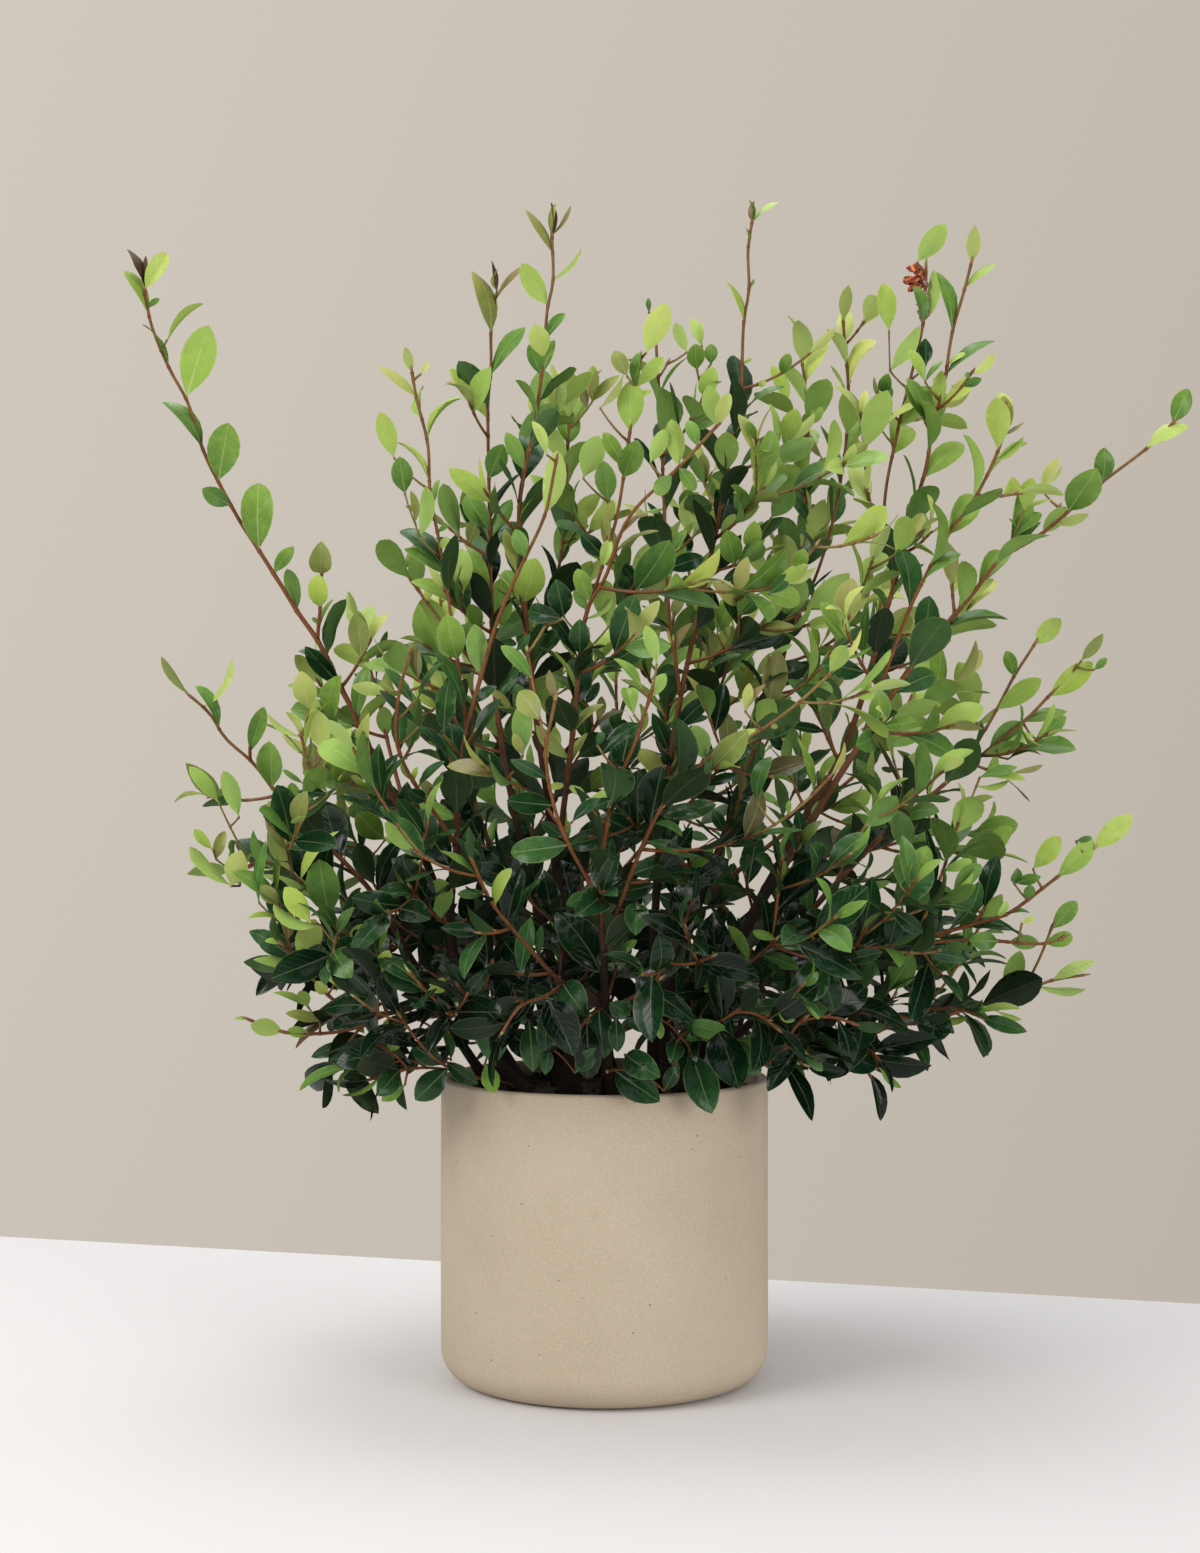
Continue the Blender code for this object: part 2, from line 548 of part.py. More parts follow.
def leafy_wood(branch, leaves):
    """A branch as one closed solid: bare wood, then a three-sided twig that its leaves grow out of.

    leaves holds pairs of leaves in order from the base, each with its place along the branch, the
    angles of its leaves and their blades. Two rings of the twig hold a pair, turned so that one
    of the twig's sides faces the first leaf's angle. The twig ends in a pointed bud.
    """
    line, first, second = frames_along(branch.path)
    points, faces = [], []

    def ring(place, turn, sides):
        """Puts in a ring of the wood, and gives its corners and their angles."""
        at = np.array([place])
        middle = at_places(branch, branch.path, at)[0]
        if place == 0.0 and not branch.main:
            middle = middle - line[0] * ROOT_SINK
        one = unit(at_places(branch, first, at)[0])
        two = unit(at_places(branch, second, at)[0])
        radius = np.interp(place, branch.along, branch.radii) * (TWIG_FATNESS if sides == 3 else 1.0)
        angles = [turn + 2 * math.pi * (j - 0.5) / sides for j in range(sides)]
        for angle in angles:
            points.append(middle + radius * (one * math.cos(angle) + two * math.sin(angle)))
        return list(range(len(points) - sides, len(points))), angles

    def join(low, high, left_out=()):
        """Triangles between two rings, which may differ in their number of corners."""
        low_ids, low_angles = low
        high_ids, high_angles = high
        if len(low_ids) == len(high_ids):
            count = len(low_ids)
            for j in range(count):
                following = (j + 1) % count
                if j not in left_out:
                    faces.append((low_ids[j], low_ids[following], high_ids[following]))
                    faces.append((low_ids[j], high_ids[following], high_ids[j]))
            return
        offset = [abs(math.remainder(angle - low_angles[0], 2 * math.pi)) for angle in high_angles]
        nearest = int(np.argmin(offset))
        i = j = 0
        while i < len(low_ids) or j < len(high_ids):
            here = low_ids[i % len(low_ids)]
            there = high_ids[(nearest + j) % len(high_ids)]
            if i / len(low_ids) <= j / len(high_ids) and i < len(low_ids):
                i += 1
                faces.append((here, low_ids[i % len(low_ids)], there))
            else:
                j += 1
                faces.append((here, high_ids[(nearest + j) % len(high_ids)], there))

    def stops(low, high):
        """Places for rings between two distances, so that the path never bows far from the wood."""
        found = []
        here = low
        for place in np.arange(low + NET_STEP, high - NET_STEP, NET_STEP):
            chord = at_places(branch, branch.path, np.linspace(here, place + NET_STEP, 5))
            bow = np.linalg.norm(chord[2] - (chord[0] + chord[4]) / 2)
            if bow > MOST_BOW or place + NET_STEP - here > STEM_STEP:
                found.append(place)
                here = place
        return found

    turn = leaves[0][1][0]
    sides = 3
    reached = 0.0
    if branch.leader:
        sides = STEM_SIDES if branch.main else STEM_SIDES - 1
        last = ring(0.0, turn, sides)
        if branch.main:
            foot = len(points)
            for k in last[0]:
                points.append(np.array([points[k][0], points[k][1], SOIL_TOP - ROOT_DEPTH]))
            below = list(range(foot, len(points)))
            join((below, last[1]), last)
            faces.extend((foot, foot + j + 1, foot + j) for j in range(1, sides - 1))
        else:
            faces.extend((0, j + 1, j) for j in range(1, sides - 1))
        reached = leaves[0][0] - BARE_BEFORE_LEAF
        for place in stops(0.0, reached) + [reached]:
            following = ring(place, turn, sides)
            join(last, following)
            last = following
    else:
        last = ring(0.0, turn, sides)
        faces.append((0, 2, 1))
    for place, angles, blades in leaves:
        for stop in stops(reached, place):
            middle = ring(stop, turn, 3)
            join(last, middle)
            last = middle
        reached = place
        turn = angles[0] - round((angles[0] - turn) / math.radians(120)) * math.radians(120)
        seats = [round((angle - turn) / math.radians(120)) % 3 for angle in angles]
        low = ring(place - ROOT_HALF, turn, 3)
        join(last, low)
        high = ring(place + ROOT_HALF, turn, 3)
        join(low, high, seats)
        for side, (direction, face, length, width) in zip(seats, blades):
            following = (side + 1) % 3
            corners = [low[0][side], low[0][following], high[0][following], high[0][side]]
            seat = np.mean([points[k] for k in corners], axis=0)
            sections, tip = blade_sections(seat, direction, face, length, width)
            shift = matched([points[k] for k in corners], sections[0], direction)
            inner = corners[shift:] + corners[:shift]
            for section in sections:
                outer = list(range(len(points), len(points) + 4))
                points.extend(section)
                faces.extend(strip(inner, outer))
                inner = outer
            points.append(tip)
            faces.extend((inner[k], inner[(k + 1) % 4], len(points) - 1) for k in range(4))
        last = high
    points.append(branch.path[-1] + line[-1] * BUD_LENGTH)
    faces.extend((last[0][j], last[0][(j + 1) % 3], len(points) - 1) for j in range(3))
    return np.array(points), faces


def tube(path, radii, sides):
    """A closed tube along the path, its rings carried on without twist."""
    line, first, second = frames_along(path)
    angles = 2 * math.pi * np.arange(sides) / sides
    rings = np.cos(angles)[None, :, None] * first[:, None] + np.sin(angles)[None, :, None] * second[:, None]
    points = (path[:, None] + np.asarray(radii)[:, None, None] * rings).reshape(-1, 3)
    faces = []
    for k in range(len(path) - 1):
        for j in range(sides):
            a = k * sides + j
            b = k * sides + (j + 1) % sides
            faces += [(a, b, b + sides), (a, b + sides, a + sides)]
    last = (len(path) - 1) * sides
    faces += [(0, j + 1, j) for j in range(1, sides - 1)]
    faces += [(last, last + j, last + j + 1) for j in range(1, sides - 1)]
    return points, faces


def mesh_object(name, points, faces):
    mesh = bpy.data.meshes.new(name)
    mesh.from_pydata([tuple(p) for p in points], [], faces)
    mesh.update()
    thing = bpy.data.objects.new(name, mesh)
    return thing


def principled(name, colour, roughness):
    material = bpy.data.materials.new(name)
    material.use_nodes = True
    shader = material.node_tree.nodes["Principled BSDF"]
    shader.inputs["Base Color"].default_value = (*colour, 1.0)
    shader.inputs["Roughness"].default_value = roughness
    shader.inputs["Metallic"].default_value = 0.0
    material.diffuse_color = (*colour, 1.0)
    return material


def shells_of(bm):
    """The mesh's separate bodies, as lists of faces."""
    left = set(bm.faces)
    shells = []
    while left:
        start = left.pop()
        shell, edge = [start], [start]
        while edge:
            for side in edge.pop().edges:
                for face in side.link_faces:
                    if face in left:
                        left.remove(face)
                        shell.append(face)
                        edge.append(face)
        shells.append(shell)
    return shells


def volume_of(shell):
    total = 0.0
    for face in shell:
        corners = [v.co for v in face.verts]
        for k in range(1, len(corners) - 1):
            total += corners[0].dot(corners[k].cross(corners[k + 1])) / 6.0
    return total


def fused(name, solids, material):
    """One closed solid from overlapping ones. Loose scraps and sealed hollows are dropped."""
    body = mesh_object(name, *solids[0])
    bpy.context.collection.objects.link(body)
    group = bpy.data.collections.new(name + "_pieces")
    for number, (points, faces) in enumerate(solids[1:]):
        group.objects.link(mesh_object(f"{name}_piece_{number}", points, faces))
    bpy.context.scene.collection.children.link(group)
    union = body.modifiers.new("union", "BOOLEAN")
    union.operation = "UNION"
    union.solver = "EXACT"
    union.operand_type = "COLLECTION"
    union.collection = group
    bpy.context.view_layer.update()
    graph = bpy.context.evaluated_depsgraph_get()
    joined = bpy.data.meshes.new_from_object(body.evaluated_get(graph))
    body.modifiers.clear()
    for piece in list(group.objects):
        bpy.data.objects.remove(piece, do_unlink=True)
    bpy.data.collections.remove(group)
    bm = bmesh.new()
    bm.from_mesh(joined)
    bmesh.ops.dissolve_limit(
        bm, angle_limit=FLAT_ANGLE, verts=bm.verts[:], edges=bm.edges[:], use_dissolve_boundaries=False
    )
    bmesh.ops.triangulate(bm, faces=bm.faces[:])
    shells = sorted(shells_of(bm), key=volume_of, reverse=True)
    for shell in shells[1:]:
        bmesh.ops.delete(bm, geom=shell, context="FACES")
    bmesh.ops.delete(bm, geom=[v for v in bm.verts if not v.link_faces], context="VERTS")
    bm.to_mesh(joined)
    bm.free()
    body.data = joined
    joined.materials.append(material)
    return body


def arc(centre_x, centre_z, radius, start, end, count):
    """Points on an arc in the XZ plane, angles in degrees from +X."""
    angles = np.radians(np.linspace(start, end, count))
    return [(centre_x + radius * math.cos(a), centre_z + radius * math.sin(a)) for a in angles]


def turned(name, profile, material):
    """A round solid: the profile, from the axis round to the axis again, turned by a Screw."""
    points = [(x, 0.0, z) for x, z in profile]
    mesh = bpy.data.meshes.new(name)
    mesh.from_pydata(points, [(k, k + 1) for k in range(len(points) - 1)], [])
    thing = bpy.data.objects.new(name, mesh)
    bpy.context.collection.objects.link(thing)
    screw = thing.modifiers.new("turn", "SCREW")
    screw.steps = POT_SIDES
    screw.render_steps = POT_SIDES
    screw.use_merge_vertices = True
    screw.merge_threshold = 0.00001
    screw.use_smooth_shade = False
    mesh.materials.append(material)
    return thing


def planter():
    """The straight stoneware pot: flat base, rounded foot, thin wall and rounded lip."""
    inner = POT_RADIUS - POT_WALL
    profile = [(0.0, POT_FLOOR)]
    profile += arc(inner - INNER_ROUND, POT_FLOOR + INNER_ROUND, INNER_ROUND, -90, 0, 2)
    profile += arc(inner + LIP_ROUND, POT_HEIGHT - LIP_ROUND, LIP_ROUND, 180, 90, 3)
    profile += arc(POT_RADIUS - LIP_ROUND, POT_HEIGHT - LIP_ROUND, LIP_ROUND, 90, 0, 3)
    profile += arc(POT_RADIUS - FOOT_ROUND, FOOT_ROUND, FOOT_ROUND, 0, -90, 5)
    profile += [(0.0, 0.0)]
    return turned("planter", profile, principled("stoneware", (0.53, 0.45, 0.33), 0.85))


def soil():
    """The potting mix: it fills the planter, with a low relief on top and a plain hole a stem."""
    inner = POT_RADIUS - POT_WALL - FIT_GAP
    floor = POT_FLOOR + FIT_GAP
    profile = [(0.0, SOIL_TOP), (SOIL_RING, SOIL_TOP), (inner, SOIL_TOP - SOIL_FALL)]
    profile += arc(inner - INNER_ROUND, floor + INNER_ROUND, INNER_ROUND, 0, -90, 2)
    profile += [(0.0, floor)]
    thing = turned("soil", profile, principled("potting_mix", (0.035, 0.022, 0.014), 0.95))
    bpy.context.view_layer.update()
    graph = bpy.context.evaluated_depsgraph_get()
    solid = bpy.data.meshes.new_from_object(thing.evaluated_get(graph))
    thing.modifiers.clear()
    place = np.empty(len(solid.vertices) * 3)
    solid.vertices.foreach_get("co", place)
    place = place.reshape(-1, 3)
    flat = np.linalg.norm(place[:, :2], axis=1)
    top = (place[:, 2] > SOIL_TOP - SOIL_FALL / 2) & (flat > SOIL_RING / 2)
    wave = np.sin(SOIL_WAVES[0] * place[:, 0] + 1.3) * np.cos(SOIL_WAVES[1] * place[:, 1] + 0.4)
    place[top, 2] += SOIL_RELIEF * wave[top]
    solid.vertices.foreach_set("co", place.ravel())
    thing.data = solid
    cutter_points, cutter_faces = [], []
    for name, root, radius, routes in STEMS:
        low = np.array([root[0], root[1], SOIL_TOP - ROOT_DEPTH - FIT_GAP])
        high = low + UP * (ROOT_DEPTH + 0.02)
        wide = (radius + FIT_GAP) / math.cos(math.pi / HOLE_SIDES)
        points, faces = tube(np.array([low, high]), [wide, wide], HOLE_SIDES)
        cutter_faces += [tuple(k + len(cutter_points) for k in face) for face in faces]
        cutter_points += list(points)
    cutter = mesh_object("root_holes", cutter_points, cutter_faces)
    cutter.hide_render = True
    cutter.display_type = "WIRE"
    bpy.context.collection.objects.link(cutter)
    cut = thing.modifiers.new("holes", "BOOLEAN")
    cut.operation = "DIFFERENCE"
    cut.object = cutter
    return thing


class Clearance:
    """What the wood and the leaves already fill, to keep each new leaf clear of it."""

    def __init__(self):
        self.middles = []
        self.reaches = []
        self.owners = []
        self.trees = []

    def add(self, owner, points, faces):
        middle = (points.max(axis=0) + points.min(axis=0)) / 2
        self.middles.append(middle)
        self.reaches.append(np.linalg.norm(points - middle, axis=1).max())
        self.owners.append(owner)
        self.trees.append(BVHTree.FromPolygons([tuple(p) for p in points], faces))

    def free(self, owner, points, faces):
        """True if the solid crosses nothing so far but its owner's own wood."""
        middle = (points.max(axis=0) + points.min(axis=0)) / 2
        reach = np.linalg.norm(points - middle, axis=1).max()
        gaps = np.linalg.norm(np.array(self.middles) - middle, axis=1)
        tree = BVHTree.FromPolygons([tuple(p) for p in points], faces)
        for k in np.flatnonzero(gaps < reach + np.array(self.reaches)):
            if self.owners[k] is not owner and tree.overlap(self.trees[k]):
                return False
        return True


def crossing(one, other):
    """True if two solids, each given by its points and faces, cross."""
    trees = [BVHTree.FromPolygons([tuple(p) for p in points], faces) for points, faces in (one, other)]
    return bool(trees[0].overlap(trees[1]))


def blade_shell(seat, direction, face, length, width):
    """A blade a little thicker than it is made, to try it for clearance."""
    sections, tip = blade_sections(seat, direction, face, length, width)
    neck = [seat + TRY_NECK * (corner - seat) for corner in sections[0]]
    shell = np.array(neck + sections[0] + sections[1] + [tip])
    shell += face * np.where(shell @ face > seat @ face, TRY_SKIN, -TRY_SKIN)[:, None]
    faces = strip(range(0, 4), range(4, 8)) + strip(range(4, 8), range(8, 12))
    faces += [(8, 9, 12), (9, 10, 12), (10, 11, 12), (11, 8, 12)]
    return shell, faces


def chosen_leaves(branch, seed, taken):
    """The leaves that this branch carries here: pairs from the tip down, with seats left out between.

    A leaf that would cross wood or another leaf is turned about its twig with its pair, and left
    out if no turn is clear.
    """
    places, roots, line, first, second, angle, draw = leaf_seats(branch, seed)
    rank = np.arange(len(places))
    step = LEADER_SKIP if branch.leader else SHOOT_SKIP
    most = LEADER_PAIRS if branch.leader else SHOOT_PAIRS
    made = []
    for k in rank[::step][:most]:
        best = []
        for turn in TRY_TURNS:
            found = []
            for leaf in (0, 1):
                one = slice(k + leaf, k + leaf + 1)
                if k + leaf >= len(places):
                    continue
                spot = angle[k] + turn + leaf * math.radians(120)
                at = slice(k, k + 1)
                pose = leaf_poses(
                    roots[at], line[at], first[at], second[at], np.array([spot]), draw[one], rank[one]
                )
                blade = tuple(column[0] for column in pose)
                shell = blade_shell(roots[k] + blade[0] * TRY_SEAT, *blade)
                apart = not any(crossing(shell, other) for *pose, other in found)
                if apart and clear_of_pot(shell[0], LEAF_MARGIN) and taken.free(branch, *shell):
                    found.append((spot, blade, shell))
            if len(found) > len(best):
                best = found
            if len(best) == 2:
                break
        if best:
            for spot, blade, shell in best:
                taken.add(None, *shell)
            made.append((places[k], [spot for spot, *rest in best], [b for s, b, shell in best]))
    return made[::-1]


def triangles_of(thing):
    """An object's points and triangles, with its modifiers at work."""
    bpy.context.view_layer.update()
    evaluated = thing.evaluated_get(bpy.context.evaluated_depsgraph_get())
    mesh = evaluated.to_mesh()
    mesh.calc_loop_triangles()
    points = np.array([v.co for v in mesh.vertices])
    faces = [tuple(t.vertices) for t in mesh.loop_triangles]
    evaluated.to_mesh_clear()
    return points, faces


def leafy_stems(holders):
    """Every stem, with its shoots and leaves, clear of the planter and soil that hold them."""
    branches = hand_read_branches()
    tips = [seen(*tip) for tip in OUTLINE_TIPS]
    tips = [tip - TIP_LEAF * growth_at(tip) for tip in tips]
    branches = grow_shoots(branches, tips, TIP_REACH)
    branches = grow_shoots(branches, crown_points(0, CROWN_SHOOTS), CROWN_REACH)
    taken = Clearance()
    for holder in holders:
        taken.add(None, *triangles_of(holder))
    for branch in branches:
        path = even_steps(branch.path, WOOD_TRY_STEP)
        radii = np.full(len(path), WOOD_TRY_SKIN + branch.radii[0])
        taken.add(branch, *tube(path, radii, 4))
    solids = {number: [] for number in range(len(STEMS))}
    for seed, branch in enumerate(branches):
        leaves = chosen_leaves(branch, seed, taken)
        if leaves:
            solids[branch.stem].append(leafy_wood(branch, leaves))
    foliage = principled("camellia", (0.07, 0.16, 0.035), 0.45)
    for number, (name, root, radius, routes) in enumerate(STEMS):
        fused(name, solids[number], foliage)


remove_old_objects()
leafy_stems([planter(), soil()])
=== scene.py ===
"""A potted camellia: a turned stoneware pot, its potting mix, fourteen stems and all they carry.

Metres, +Z up. The origin is the centre of the pot's flat base, and the plant's front faces -Y.
The pieces come in the order in which the real thing is put together: pot, soil, wood, leaves,
buds, the last dried bloom, and then the floor, the light and the camera.
"""

import json
import math

import bpy
import numpy as np
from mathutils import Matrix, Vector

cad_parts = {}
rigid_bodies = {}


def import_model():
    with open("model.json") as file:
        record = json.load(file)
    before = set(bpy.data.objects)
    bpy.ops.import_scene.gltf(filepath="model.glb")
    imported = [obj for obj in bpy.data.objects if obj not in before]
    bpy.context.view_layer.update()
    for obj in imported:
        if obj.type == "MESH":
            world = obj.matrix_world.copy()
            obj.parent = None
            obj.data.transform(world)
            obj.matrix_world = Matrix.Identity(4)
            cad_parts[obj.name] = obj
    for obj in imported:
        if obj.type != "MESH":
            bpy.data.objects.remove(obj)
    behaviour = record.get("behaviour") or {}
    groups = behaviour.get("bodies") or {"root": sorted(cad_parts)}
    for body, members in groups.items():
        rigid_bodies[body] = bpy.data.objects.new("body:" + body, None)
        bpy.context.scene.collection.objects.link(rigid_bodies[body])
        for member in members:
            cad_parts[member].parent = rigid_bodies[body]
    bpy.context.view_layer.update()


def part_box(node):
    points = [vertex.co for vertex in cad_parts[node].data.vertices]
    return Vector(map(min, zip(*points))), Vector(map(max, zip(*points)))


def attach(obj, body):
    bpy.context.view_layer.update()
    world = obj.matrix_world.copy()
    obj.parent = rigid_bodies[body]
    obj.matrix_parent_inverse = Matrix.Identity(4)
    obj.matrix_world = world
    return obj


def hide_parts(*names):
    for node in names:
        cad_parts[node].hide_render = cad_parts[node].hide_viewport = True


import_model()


# The planter: one turned stoneware pot, unglazed and sand-coloured, with a straight wall, a
# rounded foot and a thin lip. It takes its outer size from the solid that it replaces. The body
# is a profile carried round the axis, and the clay's grain and pits are in the material.
POT_RADIUS, _, POT_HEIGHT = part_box("planter")[1]
POT_WALL = 0.0085
POT_FLOOR = 0.014
POT_SIDES = 288
FOOT_ROUND = 0.029
LIP_ROUND = 0.0034
INNER_ROUND = 0.012
THROWING_WAVE = 0.00018
CLAY_SHADE = (0.440, 0.356, 0.256)
CLAY_LIGHT = (0.490, 0.402, 0.295)
CLAY_SPECK = (0.68, 0.60, 0.48, 1.0)
IRON_PIT = (0.075, 0.045, 0.028, 1.0)
CLOUDS_A_METRE = 9.0
GRAINS_A_METRE = 900.0
SPECKS_A_METRE = 850.0
PIT_CELLS_A_METRE = 62.0
CELLS_WITHOUT_PIT = 0.40
GRAIN_RELIEF = 0.0004
PIT_DEPTH = 0.0008


def new_piece(name, points, *face_sets):
    """A smooth mesh object at the origin, from points and arrays of faces with like corner counts."""
    mesh = bpy.data.meshes.new(name)
    sizes = np.concatenate([np.full(len(faces), faces.shape[1]) for faces in face_sets])
    corners = np.concatenate([faces.ravel() for faces in face_sets])
    mesh.vertices.add(len(points))
    mesh.vertices.foreach_set("co", np.ascontiguousarray(points, np.float32).ravel())
    mesh.loops.add(len(corners))
    mesh.loops.foreach_set("vertex_index", corners.astype(np.int32))
    mesh.polygons.add(len(sizes))
    mesh.polygons.foreach_set("loop_start", (np.cumsum(sizes) - sizes).astype(np.int32))
    mesh.polygons.foreach_set("use_smooth", np.ones(len(sizes), bool))
    mesh.update(calc_edges=True)
    thing = bpy.data.objects.new(name, mesh)
    bpy.context.collection.objects.link(thing)
    return thing


def placed(thing, material, slot, *nodes):
    """Gives a finished piece its material and its place on the solid model."""
    thing.data.materials.append(material)
    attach(thing, "root")
    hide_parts(*nodes)


def arc(centre_x, centre_z, radius, start, end, count):
    """Points (x, z) of a circle's arc: centre + radius (cos a, sin a), a from start to end degrees."""
    angle = np.radians(np.linspace(start, end, count))
    return np.stack([centre_x + radius * np.cos(angle), centre_z + radius * np.sin(angle)], axis=1)


def turned(profile, sides):
    """A closed round body. The profile runs from the axis, round the body and back to the axis.

    Its inner points (x, z) become rings (x cos a, x sin a, z), and its two ends become poles.
    """
    angle = 2 * np.pi * np.arange(sides) / sides
    ring = np.stack([np.cos(angle), np.sin(angle)], axis=1)
    x, z = profile[1:-1, 0], profile[1:-1, 1]
    rings = np.concatenate(
        [x[:, None, None] * ring[None], np.broadcast_to(z[:, None, None], (len(z), sides, 1))], axis=2
    )
    points = np.vstack([rings.reshape(-1, 3), [[0, 0, profile[0, 1]], [0, 0, profile[-1, 1]]]])
    here = np.arange(sides)
    after = (here + 1) % sides
    row = sides * np.arange(len(x) - 1)[:, None]
    quads = np.stack([row + here, row + sides + here, row + sides + after, row + after], axis=2)
    last = sides * (len(x) - 1)
    first_pole = np.full(sides, len(points) - 2)
    last_pole = np.full(sides, len(points) - 1)
    fans = np.vstack([
        np.stack([here, after, first_pole], axis=1),
        np.stack([last + after, last + here, last_pole], axis=1),
    ])
    return points, quads.reshape(-1, 4), fans


def ready_material(name, roughness):
    """A new material with its node tree and its Principled shader."""
    material = bpy.data.materials.new(name)
    material.use_nodes = True
    shader = material.node_tree.nodes["Principled BSDF"]
    shader.inputs["Roughness"].default_value = roughness
    return material, material.node_tree, shader


def add(tree, kind, feeds=(), **settings):
    """A new node. Each feed is (input, source), the source being a value or another node's output."""
    node = tree.nodes.new(kind)
    for key, value in settings.items():
        setattr(node, key, value)
    for socket, source in feeds:
        if isinstance(source, bpy.types.NodeSocket):
            tree.links.new(source, node.inputs[socket])
        else:
            node.inputs[socket].default_value = source
    return node


def figure(tree, operation, *values, clamp=False):
    """The output of a Math node on one to three values."""
    return add(tree, "ShaderNodeMath", enumerate(values), operation=operation, use_clamp=clamp).outputs[0]


def graded(tree, value, slope, start, clamp=False):
    """The output of  start + slope x value."""
    return figure(tree, "ADD", start, figure(tree, "MULTIPLY", value, slope), clamp=clamp)


def mixed(tree, factor, first, second, kind="MIX"):
    """The output of a colour mix."""
    feeds = ((0, factor), (6, first), (7, second))
    return add(tree, "ShaderNodeMix", feeds, data_type="RGBA", blend_type=kind).outputs[2]


def ramp(tree, value, stops, smooth=False):
    """A colour ramp's output. stops holds (place, colour) pairs."""
    node = add(tree, "ShaderNodeValToRGB", ((0, value),))
    bar = node.color_ramp
    bar.interpolation = "EASE" if smooth else "LINEAR"
    while len(bar.elements) < len(stops):
        bar.elements.new(0.5)
    for element, (place, colour) in zip(bar.elements, stops):
        element.position = place
        element.color = (*colour, 1.0)
    return node.outputs[0]


def grey(level):
    """A colour with its three parts alike."""
    return (level, level, level)


def place_on(tree):
    """The shaded point's place on the piece, in metres."""
    return add(tree, "ShaderNodeTexCoord").outputs["Object"]


def noise(tree, place, scale, detail=3.0, roughness=0.5):
    """A noise texture's value on a place in metres. scale is in lumps a metre."""
    feeds = (("Vector", place), ("Scale", scale), ("Detail", detail), ("Roughness", roughness))
    return add(tree, "ShaderNodeTexNoise", feeds).outputs[0]


def bumped(tree, height, distance, strength, below=None):
    """A Bump node's normal, for a height from 0 to 1 that stands for this distance in metres."""
    feeds = [("Height", height), ("Distance", distance), ("Strength", strength)]
    if below is not None:
        feeds.append(("Normal", below))
    return add(tree, "ShaderNodeBump", feeds).outputs[0]


def stoneware():
    """Sand-coloured clay: soft cloudy tone, fine pale grain, and a few tiny dark iron pits."""
    material, tree, shader = ready_material("stoneware", 0.78)
    place = place_on(tree)
    clouds = noise(tree, place, CLOUDS_A_METRE, 4.0)
    grain = noise(tree, place, GRAINS_A_METRE, 2.0, 0.7)
    speckle = noise(tree, place, SPECKS_A_METRE, 1.0)
    colour = ramp(tree, clouds, ((0.30, CLAY_SHADE), (0.72, CLAY_LIGHT)))
    grain_tone = ramp(tree, grain, ((0.30, grey(0.30)), (0.70, grey(0.70))))
    colour = mixed(tree, 0.55, colour, grain_tone, "SOFT_LIGHT")
    pale = ramp(tree, speckle, ((0.60, grey(0.0)), (0.74, grey(0.38))))
    colour = mixed(tree, pale, colour, CLAY_SPECK)

    cell = add(tree, "ShaderNodeTexVoronoi", (("Vector", place), ("Scale", PIT_CELLS_A_METRE)))
    near = ramp(tree, cell.outputs["Distance"], ((0.028, grey(1.0)), (0.054, grey(0.0))))
    cell_draw = add(tree, "ShaderNodeSeparateColor", ((0, cell.outputs["Color"]),)).outputs[0]
    chosen = figure(tree, "GREATER_THAN", cell_draw, CELLS_WITHOUT_PIT)
    pit = figure(tree, "MULTIPLY", near, chosen)
    colour = mixed(tree, figure(tree, "MULTIPLY", pit, 0.85), colour, IRON_PIT)
    tree.links.new(colour, shader.inputs["Base Color"])
    tree.links.new(graded(tree, grain, 0.16, 0.70), shader.inputs["Roughness"])
    normal = bumped(tree, grain, GRAIN_RELIEF, 0.35)
    normal = bumped(tree, figure(tree, "SUBTRACT", 1.0, pit), PIT_DEPTH, 0.8, normal)
    tree.links.new(normal, shader.inputs["Normal"])
    return material


def planter():
    """The pot's profile, from the middle of its inner floor up, over the lip and down to the base.

    Above the foot the wall swells and shrinks by two sine waves, of two and of five lobes, whose
    lobes turn with the height.
    """
    inner = POT_RADIUS - POT_WALL
    wall_heights = np.linspace(POT_HEIGHT - LIP_ROUND, FOOT_ROUND, 40)[1:-1]
    inner_heights = np.linspace(POT_FLOOR + INNER_ROUND, POT_HEIGHT - LIP_ROUND, 14)[1:-1]
    profile = np.vstack([
        [[0.0, POT_FLOOR]],
        arc(inner - INNER_ROUND, POT_FLOOR + INNER_ROUND, INNER_ROUND, -90, 0, 8),
        np.stack([np.full(len(inner_heights), inner), inner_heights], axis=1),
        arc(inner + LIP_ROUND, POT_HEIGHT - LIP_ROUND, LIP_ROUND, 180, 90, 7),
        arc(POT_RADIUS - LIP_ROUND, POT_HEIGHT - LIP_ROUND, LIP_ROUND, 90, 0, 7),
        np.stack([np.full(len(wall_heights), POT_RADIUS), wall_heights], axis=1),
        arc(POT_RADIUS - FOOT_ROUND, FOOT_ROUND, FOOT_ROUND, 0, -90, 18),
        [[0.0, 0.0]],
    ])
    points, quads, fans = turned(profile, POT_SIDES)
    angle = np.arctan2(points[:, 1], points[:, 0])
    height = points[:, 2]
    wave = np.sin(2 * angle + 0.7 + 9 * height) + 0.5 * np.sin(5 * angle + 31 * height)
    points[:, :2] *= (1 + THROWING_WAVE / POT_RADIUS * wave * (height > FOOT_ROUND))[:, None]
    return new_piece("planter_pot", points, quads, fans)


placed(planter(), stoneware(), "stoneware", "planter")


